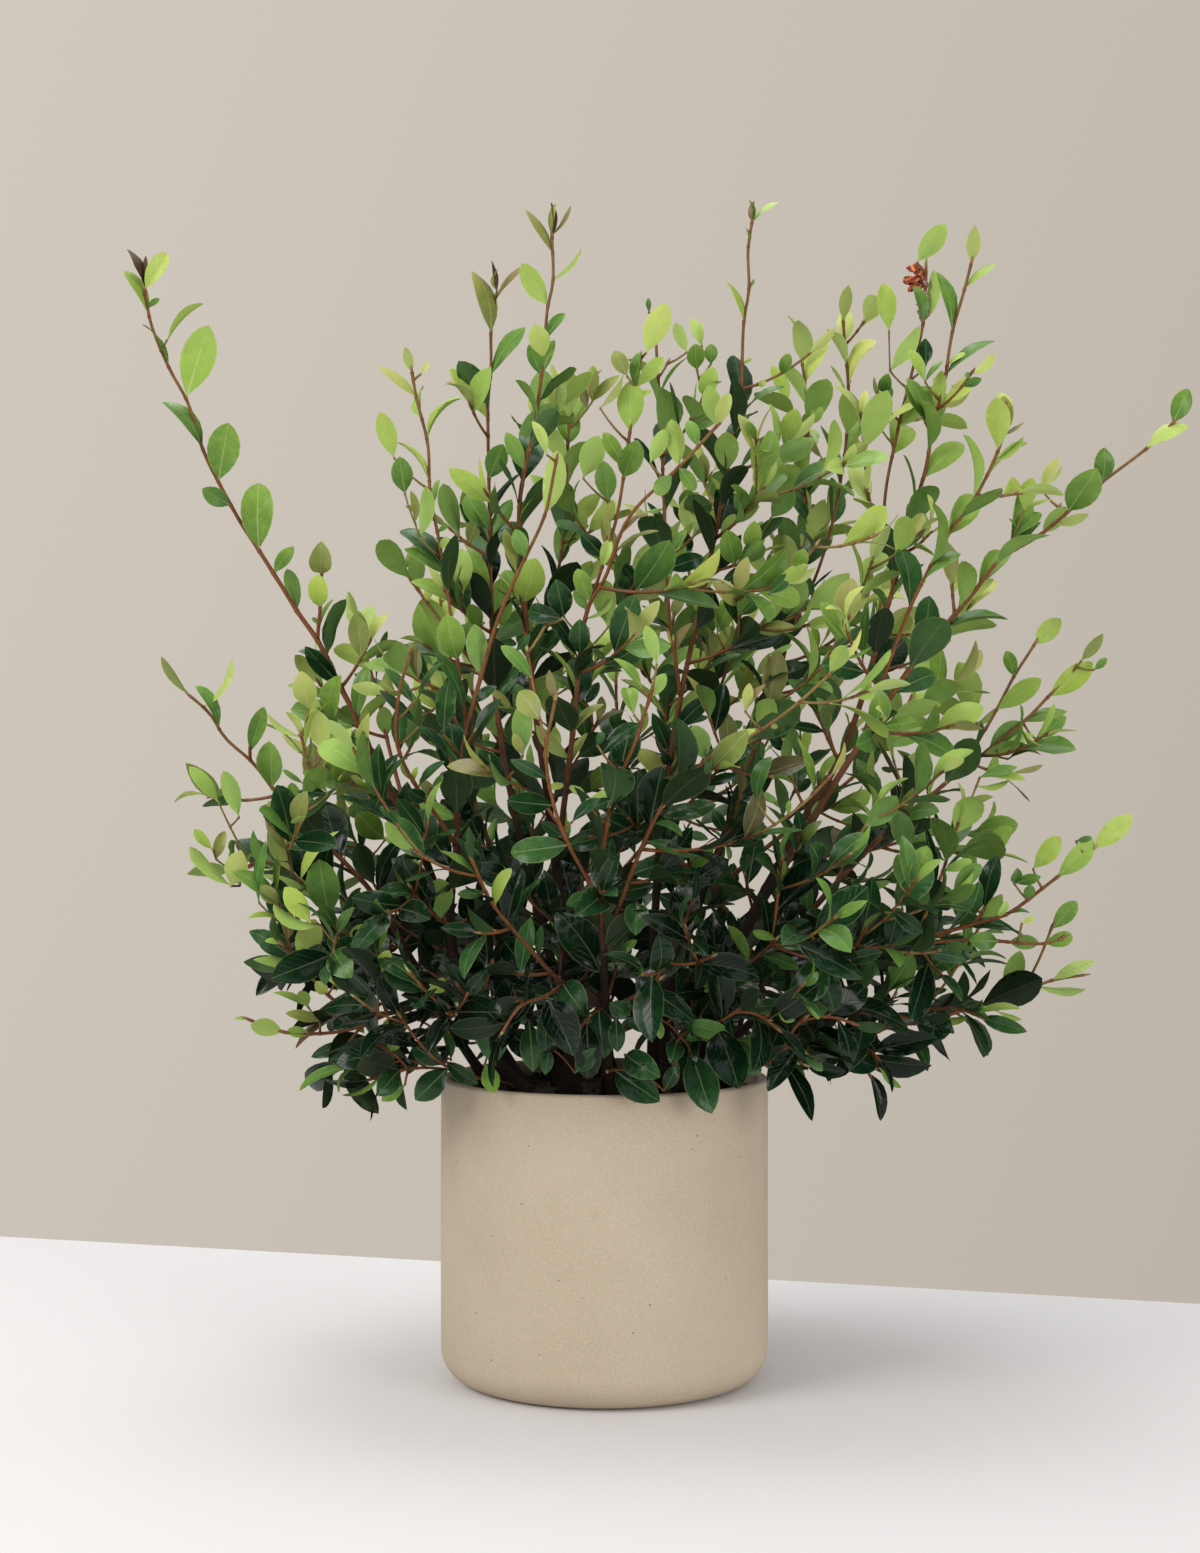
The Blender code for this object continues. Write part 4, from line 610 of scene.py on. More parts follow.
# Leaves read one by one, by their look: base and tip in the view, and the width seen, in pixels
READ_LEAVES = {"dark": (
    (926, 365, 926, 338, 15), (1008, 759, 1051, 752, 6), (987, 913, 1000, 853, 19), (965, 933, 1012, 930, 6),
    (920, 942, 972, 959, 18), (955, 1010, 982, 1003, 14), (895, 1000, 951, 1009, 6),
    (934, 1021, 955, 1034, 9), (890, 1033, 922, 1041, 5), (893, 943, 898, 906, 22), (890, 908, 923, 934, 20),
    (934, 931, 929, 881, 8), (269, 825, 283, 804, 20), (336, 691, 306, 645, 23), (329, 797, 297, 791, 11),
    (351, 761, 370, 779, 8), (305, 975, 325, 942, 24), (358, 1042, 310, 1058, 12),
    (388, 1066, 329, 1059, 18), (400, 1072, 378, 1092, 24), (449, 1064, 412, 1102, 28),
    (446, 1076, 452, 1107, 8), (419, 996, 382, 964, 32), (488, 615, 473, 572, 14),
    (491, 1007, 493, 1067, 34), (453, 1060, 479, 1087, 19), (546, 1005, 545, 1058, 23),
    (529, 1020, 535, 1073, 24), (558, 984, 590, 1012, 34), (514, 990, 557, 999, 20),
    (478, 1018, 451, 1033, 18), (600, 999, 603, 1059, 30), (616, 1016, 617, 1053, 18),
    (575, 1073, 596, 1047, 20), (613, 1061, 659, 1101, 34), (625, 1054, 660, 1077, 30),
    (664, 1091, 678, 1064, 16), (691, 1052, 710, 1113, 38), (676, 1043, 668, 1061, 20),
    (631, 993, 619, 1016, 14), (610, 876, 593, 828, 34), (650, 886, 609, 895, 22), (658, 890, 705, 921, 25),
    (587, 954, 608, 893, 34), (562, 619, 527, 610, 25), (564, 617, 556, 580, 26), (597, 555, 581, 532, 18),
    (743, 562, 749, 542, 9), (722, 582, 749, 566, 13), (667, 570, 707, 556, 20), (815, 547, 797, 529, 5),
    (696, 553, 688, 535, 13), (711, 538, 706, 510, 13), (683, 527, 673, 506, 9), (666, 565, 658, 530, 9),
    (634, 584, 624, 562, 13), (666, 634, 630, 620, 9), (419, 726, 380, 689, 8), (449, 758, 412, 726, 12),
    (403, 750, 380, 783, 13), (458, 786, 447, 789, 6), (435, 800, 409, 789, 16), (405, 815, 408, 781, 15),
    (559, 807, 506, 802, 25), (461, 820, 470, 782, 9), (512, 775, 478, 750, 20), (474, 733, 503, 699, 14),
    (480, 704, 498, 684, 12), (589, 704, 600, 682, 12), (572, 822, 600, 797, 14), (480, 850, 508, 866, 24),
    (540, 835, 505, 822, 16), (560, 842, 540, 822, 14), (590, 670, 636, 664, 13), (655, 678, 640, 660, 10),
    (685, 670, 664, 673, 8), (599, 758, 642, 722, 17), (712, 805, 684, 788, 12), (625, 870, 668, 860, 22),
    (655, 890, 692, 862, 14), (722, 900, 735, 862, 22), (737, 788, 767, 757, 22), (712, 771, 753, 744, 18),
    (670, 727, 708, 694, 20), (675, 758, 651, 713, 16), (672, 768, 660, 750, 12), (632, 772, 612, 762, 15),
    (619, 800, 592, 808, 12), (633, 815, 619, 778, 14), (766, 682, 808, 664, 13), (785, 752, 768, 733, 12),
    (712, 790, 738, 775, 12), (717, 832, 712, 808, 14), (743, 842, 768, 825, 22), (800, 835, 797, 810, 14),
    (785, 790, 812, 778, 12), (800, 722, 786, 706, 14), (820, 730, 792, 726, 12), (702, 684, 682, 671, 12),
    (703, 650, 705, 622, 15), (437, 933, 395, 934, 20), (497, 987, 509, 943, 18), (549, 1048, 546, 1075, 14),
    (445, 1062, 410, 1042, 22), (400, 1040, 402, 1008, 14), (482, 1005, 468, 978, 16),
    (500, 1005, 528, 1020, 20), (475, 1010, 455, 990, 16), (560, 1005, 565, 1020, 14),
    (560, 905, 545, 885, 14), (705, 980, 686, 957, 15), (735, 1008, 720, 1030, 18),
    (655, 1030, 625, 1020, 16), (630, 1015, 610, 1000, 20), (592, 985, 620, 972, 20),
    (678, 1008, 676, 965, 9), (718, 945, 725, 925, 16), (660, 885, 690, 868, 16),
), "shade": (
    (575, 653, 578, 619, 22), (467, 716, 433, 647, 14), (455, 761, 438, 735, 14), (418, 697, 444, 662, 8),
    (402, 749, 400, 703, 21), (410, 700, 385, 667, 14), (388, 802, 409, 755, 9), (421, 783, 446, 761, 8),
    (553, 782, 511, 758, 14), (516, 756, 471, 743, 6), (402, 828, 380, 805, 13), (482, 839, 453, 828, 11),
    (562, 848, 506, 853, 30), (503, 700, 520, 665, 16), (444, 734, 450, 678, 22), (516, 651, 531, 635, 9),
    (575, 672, 592, 650, 12), (618, 630, 641, 597, 13), (746, 627, 722, 594, 10), (745, 617, 763, 597, 14),
    (769, 594, 792, 573, 15), (813, 597, 796, 567, 11), (619, 591, 625, 577, 12), (750, 548, 784, 517, 14),
    (612, 732, 611, 707, 13), (597, 745, 604, 731, 9), (667, 821, 718, 803, 21), (657, 825, 685, 837, 9),
    (651, 847, 703, 859, 13), (681, 833, 709, 839, 9), (796, 853, 766, 804, 10), (632, 850, 612, 807, 17),
    (757, 802, 773, 753, 14), (813, 716, 786, 678, 14), (721, 669, 717, 633, 12), (812, 498, 806, 463, 17),
    (808, 528, 789, 493, 11), (483, 898, 457, 895, 13), (510, 940, 469, 943, 13), (502, 932, 458, 910, 20),
    (518, 976, 532, 918, 20), (571, 973, 563, 907, 30), (595, 896, 563, 904, 17), (451, 1060, 442, 1028, 10),
    (443, 978, 481, 971, 12), (536, 958, 541, 925, 9), (517, 928, 549, 872, 10), (668, 915, 703, 925, 14),
    (637, 902, 634, 934, 27), (719, 912, 731, 868, 24), (700, 880, 708, 905, 15), (756, 972, 715, 994, 15),
    (759, 956, 800, 967, 16), (773, 942, 813, 945, 16), (762, 981, 808, 988, 16), (741, 1002, 793, 1008, 17),
    (701, 1017, 707, 1039, 22), (733, 1033, 683, 1042, 13), (745, 1045, 793, 1071, 14),
    (760, 1055, 808, 1075, 18), (808, 1048, 822, 1072, 12), (592, 972, 643, 972, 9), (602, 950, 626, 930, 8),
    (785, 920, 782, 885, 10), (805, 918, 805, 878, 15), (690, 955, 702, 942, 8), (729, 1045, 760, 1075, 28),
), "deep": (
    (153, 309, 160, 298, 8), (200, 448, 161, 398, 16), (230, 508, 204, 492, 20), (280, 570, 293, 545, 16),
    (320, 640, 335, 597, 6), (405, 494, 400, 459, 23), (440, 577, 404, 547, 15), (463, 594, 449, 574, 14),
    (492, 381, 527, 326, 16), (491, 482, 505, 444, 23), (495, 543, 512, 499, 17), (506, 627, 503, 579, 29),
    (552, 338, 567, 313, 13), (543, 374, 529, 344, 14), (543, 374, 556, 340, 14), (649, 312, 648, 298, 6),
    (640, 387, 643, 349, 13), (751, 214, 749, 199, 4), (750, 404, 786, 386, 8), (951, 378, 998, 340, 12),
    (970, 390, 982, 379, 10), (976, 378, 963, 377, 6), (926, 380, 944, 361, 6), (930, 422, 906, 376, 15),
    (882, 392, 886, 376, 16), (1101, 482, 1103, 447, 22), (1179, 419, 1189, 388, 22),
    (1011, 542, 1042, 522, 8), (1013, 528, 1009, 518, 4), (1014, 674, 1007, 649, 14),
    (1094, 670, 1107, 658, 9), (1023, 724, 1068, 710, 14), (980, 777, 1017, 766, 12),
    (1076, 841, 1092, 838, 8), (899, 885, 899, 853, 15), (960, 893, 941, 887, 6), (966, 894, 979, 898, 4),
    (1014, 883, 1041, 876, 12), (1015, 882, 1015, 867, 14), (1023, 900, 1028, 884, 12),
    (1011, 920, 1031, 913, 5), (1000, 945, 966, 940, 20), (973, 1014, 988, 1023, 5),
    (882, 990, 912, 952, 28), (251, 756, 263, 706, 20), (356, 719, 368, 663, 22), (240, 886, 251, 853, 6),
    (259, 903, 267, 839, 14), (349, 1074, 297, 1091, 9), (352, 1068, 338, 1094, 5),
    (405, 1085, 381, 1101, 14), (485, 1064, 497, 1091, 19), (687, 1020, 731, 1035, 22),
    (718, 1039, 739, 1070, 9), (737, 464, 781, 431, 6), (687, 781, 715, 768, 9), (755, 968, 728, 925, 15),
    (712, 996, 700, 979, 8), (712, 996, 717, 981, 7), (682, 1022, 650, 1010, 7), (732, 1041, 774, 1050, 12),
    (768, 1039, 817, 1036, 22), (772, 1008, 795, 1022, 12), (615, 957, 638, 940, 9),
    (772, 940, 752, 930, 11), (800, 985, 820, 972, 11), (795, 995, 819, 1020, 8), (740, 985, 762, 983, 10),
), "green": (
    (169, 370, 140, 322, 5), (222, 482, 233, 425, 35), (259, 548, 258, 478, 35), (295, 610, 287, 567, 19),
    (317, 627, 312, 617, 5), (435, 508, 439, 479, 9), (440, 536, 448, 524, 7), (421, 586, 416, 552, 18),
    (488, 587, 466, 548, 20), (523, 474, 508, 431, 18), (488, 528, 464, 495, 24), (551, 566, 559, 521, 17),
    (525, 553, 515, 530, 18), (522, 526, 534, 496, 6), (697, 370, 693, 348, 19), (711, 364, 710, 346, 14),
    (748, 250, 745, 226, 4), (750, 292, 754, 278, 3), (780, 375, 790, 355, 14), (926, 322, 915, 283, 15),
    (950, 327, 935, 270, 18), (925, 422, 904, 385, 13), (885, 405, 889, 386, 12), (1066, 512, 1089, 472, 34),
    (1013, 537, 1043, 513, 13), (1035, 739, 1067, 717, 16), (990, 751, 1022, 722, 22),
    (975, 841, 1016, 822, 26), (915, 889, 926, 845, 25), (900, 886, 911, 851, 14), (960, 896, 983, 864, 21),
    (1052, 923, 1077, 900, 19), (1041, 947, 1074, 934, 17), (1003, 944, 1039, 943, 17),
    (918, 975, 954, 948, 24), (1002, 997, 1018, 949, 19), (880, 1068, 902, 1088, 9),
    (224, 731, 194, 684, 12), (277, 790, 272, 741, 29), (346, 759, 357, 728, 12), (294, 737, 298, 721, 4),
    (303, 762, 309, 733, 5), (304, 784, 283, 769, 5), (328, 794, 303, 770, 11), (349, 786, 334, 764, 20),
    (296, 810, 293, 782, 16), (327, 913, 323, 855, 36), (335, 985, 355, 983, 13), (308, 1007, 302, 989, 14),
    (307, 1034, 287, 1030, 12), (382, 1071, 341, 1096, 6), (385, 840, 358, 814, 27),
    (412, 908, 417, 856, 26), (437, 927, 440, 877, 27), (378, 952, 382, 913, 16), (603, 1065, 607, 1090, 18),
    (659, 1019, 661, 1039, 9), (564, 443, 564, 400, 21), (575, 446, 578, 417, 14), (579, 613, 575, 590, 13),
    (478, 625, 470, 605, 18), (618, 466, 605, 431, 19), (631, 480, 636, 444, 29), (600, 502, 604, 463, 25),
    (696, 446, 688, 418, 15), (686, 519, 689, 490, 19), (688, 519, 703, 501, 10), (676, 474, 654, 495, 17),
    (685, 469, 697, 491, 16), (761, 444, 747, 421, 9), (751, 453, 763, 453, 10), (795, 428, 810, 417, 12),
    (739, 518, 741, 488, 17), (742, 518, 761, 492, 13), (771, 518, 794, 487, 22), (797, 489, 804, 449, 18),
    (732, 571, 725, 531, 24), (741, 597, 773, 561, 15), (671, 562, 688, 530, 12), (717, 634, 731, 601, 20),
    (804, 571, 801, 550, 17), (794, 614, 780, 599, 13), (782, 567, 771, 552, 4), (673, 507, 647, 512, 6),
    (729, 594, 709, 580, 6), (696, 599, 681, 581, 7), (453, 659, 446, 614, 30), (480, 676, 473, 624, 26),
    (525, 681, 500, 645, 15), (585, 710, 543, 670, 9), (524, 751, 520, 702, 22), (501, 801, 465, 767, 22),
    (414, 779, 401, 762, 6), (431, 788, 443, 774, 7), (460, 820, 418, 804, 18), (477, 880, 440, 850, 6),
    (581, 795, 614, 764, 20), (566, 690, 541, 677, 10), (383, 740, 382, 706, 18), (651, 678, 697, 645, 15),
    (699, 759, 694, 724, 24), (675, 758, 690, 738, 11), (659, 701, 688, 686, 9), (642, 689, 614, 657, 12),
    (634, 715, 628, 686, 21), (662, 797, 704, 763, 19), (694, 872, 713, 844, 20), (781, 879, 784, 859, 10),
    (820, 794, 797, 737, 10), (730, 731, 743, 722, 10), (768, 655, 792, 643, 7), (815, 820, 820, 800, 10),
    (740, 665, 755, 630, 13), (791, 817, 789, 800, 6), (712, 697, 727, 692, 9), (481, 892, 470, 868, 5),
    (585, 965, 546, 917, 10), (390, 1056, 398, 1032, 14), (584, 597, 576, 567, 18),
), "light": (
    (153, 320, 122, 269, 11), (167, 340, 204, 303, 4), (190, 398, 209, 325, 36), (318, 605, 320, 573, 22),
    (394, 458, 381, 411, 21), (420, 537, 425, 484, 20), (431, 442, 464, 396, 8), (410, 581, 394, 562, 7),
    (489, 421, 451, 367, 24), (528, 606, 536, 560, 32), (555, 281, 582, 248, 6), (547, 309, 519, 263, 22),
    (592, 402, 592, 365, 15), (641, 387, 664, 357, 17), (631, 430, 630, 379, 28), (643, 396, 652, 391, 7),
    (705, 391, 712, 368, 22), (714, 429, 707, 382, 20), (687, 417, 697, 380, 4), (742, 322, 725, 279, 11),
    (745, 367, 752, 358, 4), (917, 262, 946, 224, 25), (889, 331, 883, 283, 22), (890, 371, 920, 325, 18),
    (925, 326, 934, 269, 12), (967, 291, 997, 263, 8), (925, 382, 909, 348, 14), (929, 411, 940, 370, 15),
    (1000, 462, 1024, 437, 9), (1024, 510, 1031, 477, 19), (1041, 531, 1068, 506, 18),
    (1031, 512, 1052, 499, 5), (999, 712, 1041, 678, 22), (1048, 700, 1094, 663, 24),
    (999, 757, 1034, 733, 9), (983, 781, 1026, 779, 9), (980, 791, 1009, 781, 7), (1054, 876, 1095, 839, 26),
    (1033, 869, 1062, 835, 21), (936, 871, 973, 860, 14), (1000, 999, 1038, 985, 22),
    (977, 1011, 1022, 1009, 6), (997, 1011, 1022, 1019, 7), (934, 1020, 971, 1016, 8),
    (239, 817, 223, 770, 22), (219, 803, 188, 767, 13), (213, 850, 194, 829, 13), (311, 923, 285, 886, 22),
    (321, 925, 271, 903, 11), (283, 942, 264, 941, 5), (276, 925, 246, 918, 4), (304, 973, 253, 959, 13),
    (300, 1007, 272, 992, 8), (252, 1022, 233, 1019, 4), (389, 1060, 389, 1015, 13),
    (392, 886, 394, 859, 12), (348, 944, 370, 929, 22), (380, 974, 390, 948, 17), (419, 996, 446, 984, 16),
    (565, 552, 585, 510, 23), (583, 478, 599, 437, 26), (650, 463, 666, 429, 20), (678, 470, 673, 418, 23),
    (720, 470, 725, 434, 25), (778, 440, 795, 408, 21), (811, 422, 823, 409, 13), (752, 494, 769, 455, 21),
    (772, 481, 781, 457, 12), (720, 538, 735, 514, 13), (743, 547, 752, 522, 21), (609, 626, 601, 579, 28),
    (590, 616, 613, 595, 7), (703, 616, 711, 589, 17), (780, 634, 767, 610, 8), (780, 639, 810, 620, 5),
    (542, 666, 544, 632, 22), (579, 686, 553, 651, 5), (586, 694, 622, 657, 7), (417, 778, 418, 766, 6),
    (455, 770, 450, 762, 9), (586, 800, 628, 774, 12), (507, 671, 510, 655, 6), (657, 664, 646, 625, 14),
    (715, 698, 690, 645, 17), (720, 691, 782, 631, 6), (743, 729, 776, 699, 25), (667, 724, 702, 689, 14),
    (658, 700, 665, 673, 17), (730, 740, 757, 730, 10), (814, 643, 811, 622, 10), (495, 908, 514, 866, 14),
    (812, 940, 820, 926, 12),
), "lime": (
    (150, 293, 169, 252, 21), (421, 374, 429, 362, 6), (428, 483, 396, 441, 5), (441, 546, 449, 537, 9),
    (428, 604, 429, 586, 9), (462, 592, 460, 547, 23), (545, 513, 560, 450, 26), (543, 361, 537, 327, 22),
    (545, 418, 560, 376, 24), (547, 455, 533, 420, 14), (552, 430, 528, 400, 13), (646, 353, 664, 302, 27),
    (687, 352, 675, 321, 15), (702, 346, 693, 317, 13), (703, 346, 702, 322, 8), (757, 222, 778, 202, 6),
    (757, 393, 766, 385, 8), (954, 371, 968, 352, 5), (943, 412, 976, 377, 18), (978, 378, 996, 352, 9),
    (881, 429, 921, 400, 6), (1147, 452, 1191, 423, 15), (1035, 648, 1063, 617, 20),
    (1098, 847, 1132, 814, 22), (994, 910, 1009, 900, 9), (1022, 923, 1035, 917, 7),
    (1054, 977, 1096, 962, 13), (1038, 987, 1087, 990, 9), (207, 706, 233, 655, 12),
    (325, 752, 313, 708, 27), (341, 754, 341, 713, 22), (293, 737, 266, 711, 7), (350, 630, 346, 610, 9),
    (231, 886, 190, 846, 9), (302, 880, 342, 828, 16), (331, 925, 251, 870, 6), (300, 962, 314, 917, 27),
    (334, 985, 334, 955, 22), (323, 1001, 317, 980, 13), (286, 1034, 252, 1022, 20),
    (451, 1017, 454, 988, 13), (700, 499, 735, 469, 15), (680, 536, 686, 527, 8), (640, 582, 653, 544, 23),
    (595, 567, 610, 538, 13), (563, 787, 547, 787, 8), (567, 789, 585, 796, 8), (661, 713, 620, 679, 8),
    (653, 810, 637, 791, 10),
), "gold": (
    (973, 262, 977, 225, 16), (1041, 489, 1059, 457, 13), (1060, 528, 1090, 515, 12),
    (309, 708, 303, 670, 25), (231, 886, 246, 849, 25), (412, 370, 404, 346, 11), (415, 401, 377, 367, 12),
    (721, 424, 730, 391, 17), (712, 472, 727, 447, 8), (730, 640, 712, 592, 6), (739, 636, 759, 604, 7),
    (578, 732, 569, 704, 8), (667, 651, 667, 628, 8), (747, 694, 749, 664, 14), (745, 711, 751, 683, 12),
    (702, 480, 713, 494, 6),
), "olive": (
    (322, 577, 323, 542, 25), (415, 523, 411, 490, 9), (408, 562, 421, 538, 14), (472, 545, 478, 515, 16),
    (509, 571, 503, 529, 11), (489, 330, 471, 266, 21), (498, 289, 498, 268, 4), (554, 233, 555, 202, 5),
    (550, 251, 525, 209, 11), (597, 402, 620, 375, 13), (627, 376, 613, 349, 17), (600, 408, 625, 373, 11),
    (881, 409, 874, 376, 7), (1004, 434, 1004, 395, 21), (1081, 661, 1103, 633, 13),
    (970, 812, 995, 795, 11), (191, 696, 162, 656, 5), (216, 859, 225, 829, 14), (367, 658, 360, 610, 24),
    (283, 900, 261, 885, 16), (320, 1022, 285, 1012, 12), (291, 872, 268, 823, 15), (550, 415, 557, 381, 8),
    (705, 480, 702, 453, 14), (631, 594, 674, 576, 15), (612, 544, 611, 501, 9), (621, 554, 660, 530, 5),
    (542, 724, 520, 689, 26), (523, 755, 514, 732, 11), (570, 756, 534, 726, 15), (579, 735, 606, 704, 11),
    (571, 764, 587, 732, 10), (413, 686, 411, 641, 13), (738, 705, 762, 679, 18), (766, 718, 778, 728, 6),
    (729, 732, 712, 699, 15), (666, 774, 705, 736, 4), (659, 785, 630, 744, 20),
), "bronze": (
    (499, 303, 526, 264, 7), (556, 240, 571, 205, 5), (592, 409, 584, 381, 10), (593, 405, 604, 367, 7),
    (631, 376, 630, 358, 5), (754, 216, 755, 200, 6), (1011, 435, 1026, 422, 5), (283, 938, 285, 905, 13),
    (398, 554, 387, 538, 4), (822, 458, 810, 434, 9), (621, 535, 647, 512, 9), (735, 640, 737, 613, 5),
    (668, 652, 693, 622, 11), (412, 684, 399, 642, 7), (415, 680, 419, 640, 6), (552, 699, 549, 669, 9),
    (541, 765, 546, 748, 6), (747, 711, 766, 684, 10), (662, 772, 643, 749, 7),
), "russet": (
    (143, 283, 126, 247, 6), (145, 283, 146, 255, 6), (497, 291, 492, 260, 5), (553, 233, 550, 201, 5),
    (331, 1011, 295, 1049, 7),
)}

# Each look: how young the leaf is, set lower also as painted shade for leaves seen in shade, how bronze and
# how pointed it is, all 0 to 1
LOOKS = {
    "dark": (0.17, 0.0, 0.85), "shade": (0.26, 0.0, 0.75), "deep": (0.40, 0.0, 0.65),
    "green": (0.47, 0.0, 0.50), "light": (0.67, 0.0, 0.55), "lime": (0.87, 0.0, 0.55),
    "gold": (0.84, 0.40, 0.80), "olive": (0.56, 0.50, 0.85), "bronze": (0.56, 0.95, 1.0),
    "russet": (0.12, 1.0, 1.0),
}

# The dried bloom's petals and the dry scales below it, read the same way, with 1 for a petal
READ_PETALS = (
    (917, 277, 908, 261, 11, 1), (917, 278, 902, 267, 10, 1), (916, 279, 896, 278, 12, 1),
    (916, 281, 902, 292, 12, 1), (917, 280, 911, 268, 9, 1), (917, 282, 909, 294, 9, 1),
    (916, 280, 899, 284, 9, 1), (918, 279, 915, 265, 8, 1),
    (920, 300, 913, 287, 6, 0), (924, 310, 932, 295, 6, 0), (922, 325, 918, 305, 8, 0),
    (926, 323, 930, 305, 6, 0), (920, 290, 927, 275, 6, 0), (922, 292, 932, 280, 5, 0),
    (921, 312, 914, 302, 5, 0), (923, 300, 927, 287, 5, 0),
)

# How far a read route's branch starts thinner than its parent, and how its depth runs to its tip
BRANCH_SHARE = 0.72
DEPTH_POWER = 0.85

# Shoots grown by rule. Angles are cosines, bends are shares of the length, the rest is in metres.
CROWN_SHOOTS = 46
MORE_SHOOTS = 325
LOW_TRIES = 900
OUTLINE_REACH = 0.24
SHOOT_REACH = 0.20
SHOOTS_APART = 0.030
MORE_SHOOTS_APART = 0.020
LOW_SHOOTS_APART = 0.015
LOW_SHOOTS_BELOW = 0.405
FRONT_MOST = -0.275
TIP_LEAF = 0.026
DROOP_BELOW = 0.345
DROOP = 0.22
UPTURN = -0.13
SIDE_BENDS = (0.0, 0.12, -0.12, 0.25, -0.25)
LEAST_AHEAD = 0.25
LEAST_FORWARD = 0.15
SHARP_FORWARD = 0.5
SHARP_COST = 0.03
LAST_PARENT_SHARE = 0.93
LEVEL_RISE = 0.35
WOOD_CLEARANCE = 0.0022
POT_CLEARANCE = 0.006

# Seats of the leaves read one by one. Reaches and costs are in pixels of the view.
SEAT_REACH = 9.0
FRONT_FIRST = 60.0
LEVEL_COST = 1.6
LEVEL_WOOD_COST = 90.0
TWIG_FORWARD = 0.006
TWIG_POT_CLEARANCE = 0.001
TILT_BACK_FROM = -0.20
LEAST_LENGTH_IN_WIDTHS = 1.75
LEAST_WIDTH_IN_LENGTHS = 0.40
RIM_LEAVES_FROM = 990.0
RIM_GAP = 0.009
RIM_CLIMB = 0.022
RIM_SIDE_GAP = 0.004
RIM_WOOD_REACH = 0.02

# Seats of the leaves that sit by rule, from a branch's tip towards its base
LEADER_LEAFY_LENGTH = 0.42
LEADER_LEAST_BARE = 0.10
SHOOT_BARE_SHARE = 0.22
LEADER_PITCH = 0.024
SHOOT_PITCH = 0.0155
GOLDEN_ANGLE = math.radians(137.5)
PAST_LAST_LEAF = 0.002


def seen(across, down, depth):
    """The real place of a point of the front view: eye + (depth - eye) / focal length x offset."""
    reach = (depth - EYE[1]) / FOCAL_PIXELS
    x = EYE[0] + (across - VIEW_MIDDLE[0]) * reach
    z = EYE[2] - (down - VIEW_MIDDLE[1]) * reach
    return np.array([x, depth, z])


def in_view(points):
    """Where points come in the front view, in pixels: middle + focal length x offset / depth."""
    reach = FOCAL_PIXELS / (points[..., 1] - EYE[1])
    across = VIEW_MIDDLE[0] + (points[..., 0] - EYE[0]) * reach
    down = VIEW_MIDDLE[1] - (points[..., 2] - EYE[2]) * reach
    return np.stack([across, down], axis=-1)


def arc_length(path):
    """The distance along a polyline at each of its points."""
    return np.concatenate([[0.0], np.cumsum(np.linalg.norm(np.diff(path, axis=0), axis=1))])


def even_steps(path, step):
    """The polyline's points again, at even steps close to the one asked for."""
    along = arc_length(path)
    count = max(2, int(round(along[-1] / step)) + 1)
    places = np.linspace(0.0, along[-1], count)
    return np.stack([np.interp(places, along, path[:, k]) for k in range(3)], axis=1)


def smooth_curve(points, step):
    """A curve through the points, at even steps: a cubic span between each two of them.

    The span from b to c, with a before and d after them, is half of
    2 b + (c - a) t + (2 a - 5 b + 4 c - d) t^2 + (3 b - a - 3 c + d) t^3,  t from 0 to 1.
    """
    points = np.asarray(points, float)
    before = 2 * points[0] - points[1]
    after = 2 * points[-1] - points[-2]
    p = np.vstack([before, points, after])
    t = np.linspace(0.0, 1.0, 12, endpoint=False)[:, None]
    pieces = []
    for k in range(1, len(p) - 2):
        a, b, c, d = p[k - 1 : k + 3]
        bend = 2 * a - 5 * b + 4 * c - d
        pieces.append(0.5 * (2 * b + (c - a) * t + bend * t**2 + (3 * b - a - 3 * c + d) * t**3))
    pieces.append(p[-2][None])
    return even_steps(np.vstack(pieces), step)


def tangents(path):
    """The path's way at each of its points, from the points beside it."""
    return unit(np.gradient(path, axis=0))


def halton(index, base):
    """The index-th term of the even Halton sequence in this base."""
    value, share = 0.0, 1.0 / base
    while index:
        value += share * (index % base)
        index //= base
        share /= base
    return value


def in_crown(point):
    """True inside the dense crown: (x / side)^2 + (y / deep)^2 < 1, with widths by height."""
    x, y, z = point
    if not CROWN_HEIGHT[0] <= z <= CROWN_HEIGHT[-1]:
        return False
    side = np.interp(z, CROWN_HEIGHT, CROWN_LEFT if x < 0 else CROWN_RIGHT)
    deep = np.interp(z, CROWN_HEIGHT, CROWN_DEPTH)
    return (x / side) ** 2 + (y / deep) ** 2 < 1.0


def crown_points(first, count):
    """Even points in the crown, thinner near its shaded axis: entries first to first + count."""
    found = []
    index = 1
    low = np.array([-CROWN_LEFT[2], -CROWN_DEPTH[2], CROWN_HEIGHT[0]])
    high = np.array([CROWN_RIGHT[2], CROWN_DEPTH[2], CROWN_HEIGHT[-1]])
    while len(found) < first + count:
        place = low + (high - low) * [halton(index, 2), halton(index, 3), halton(index, 5)]
        in_core = math.hypot(place[0], place[1]) < CORE_RADIUS
        if in_crown(place) and not (in_core and index % 3):
            found.append(place)
        index += 1
    return found[first:]


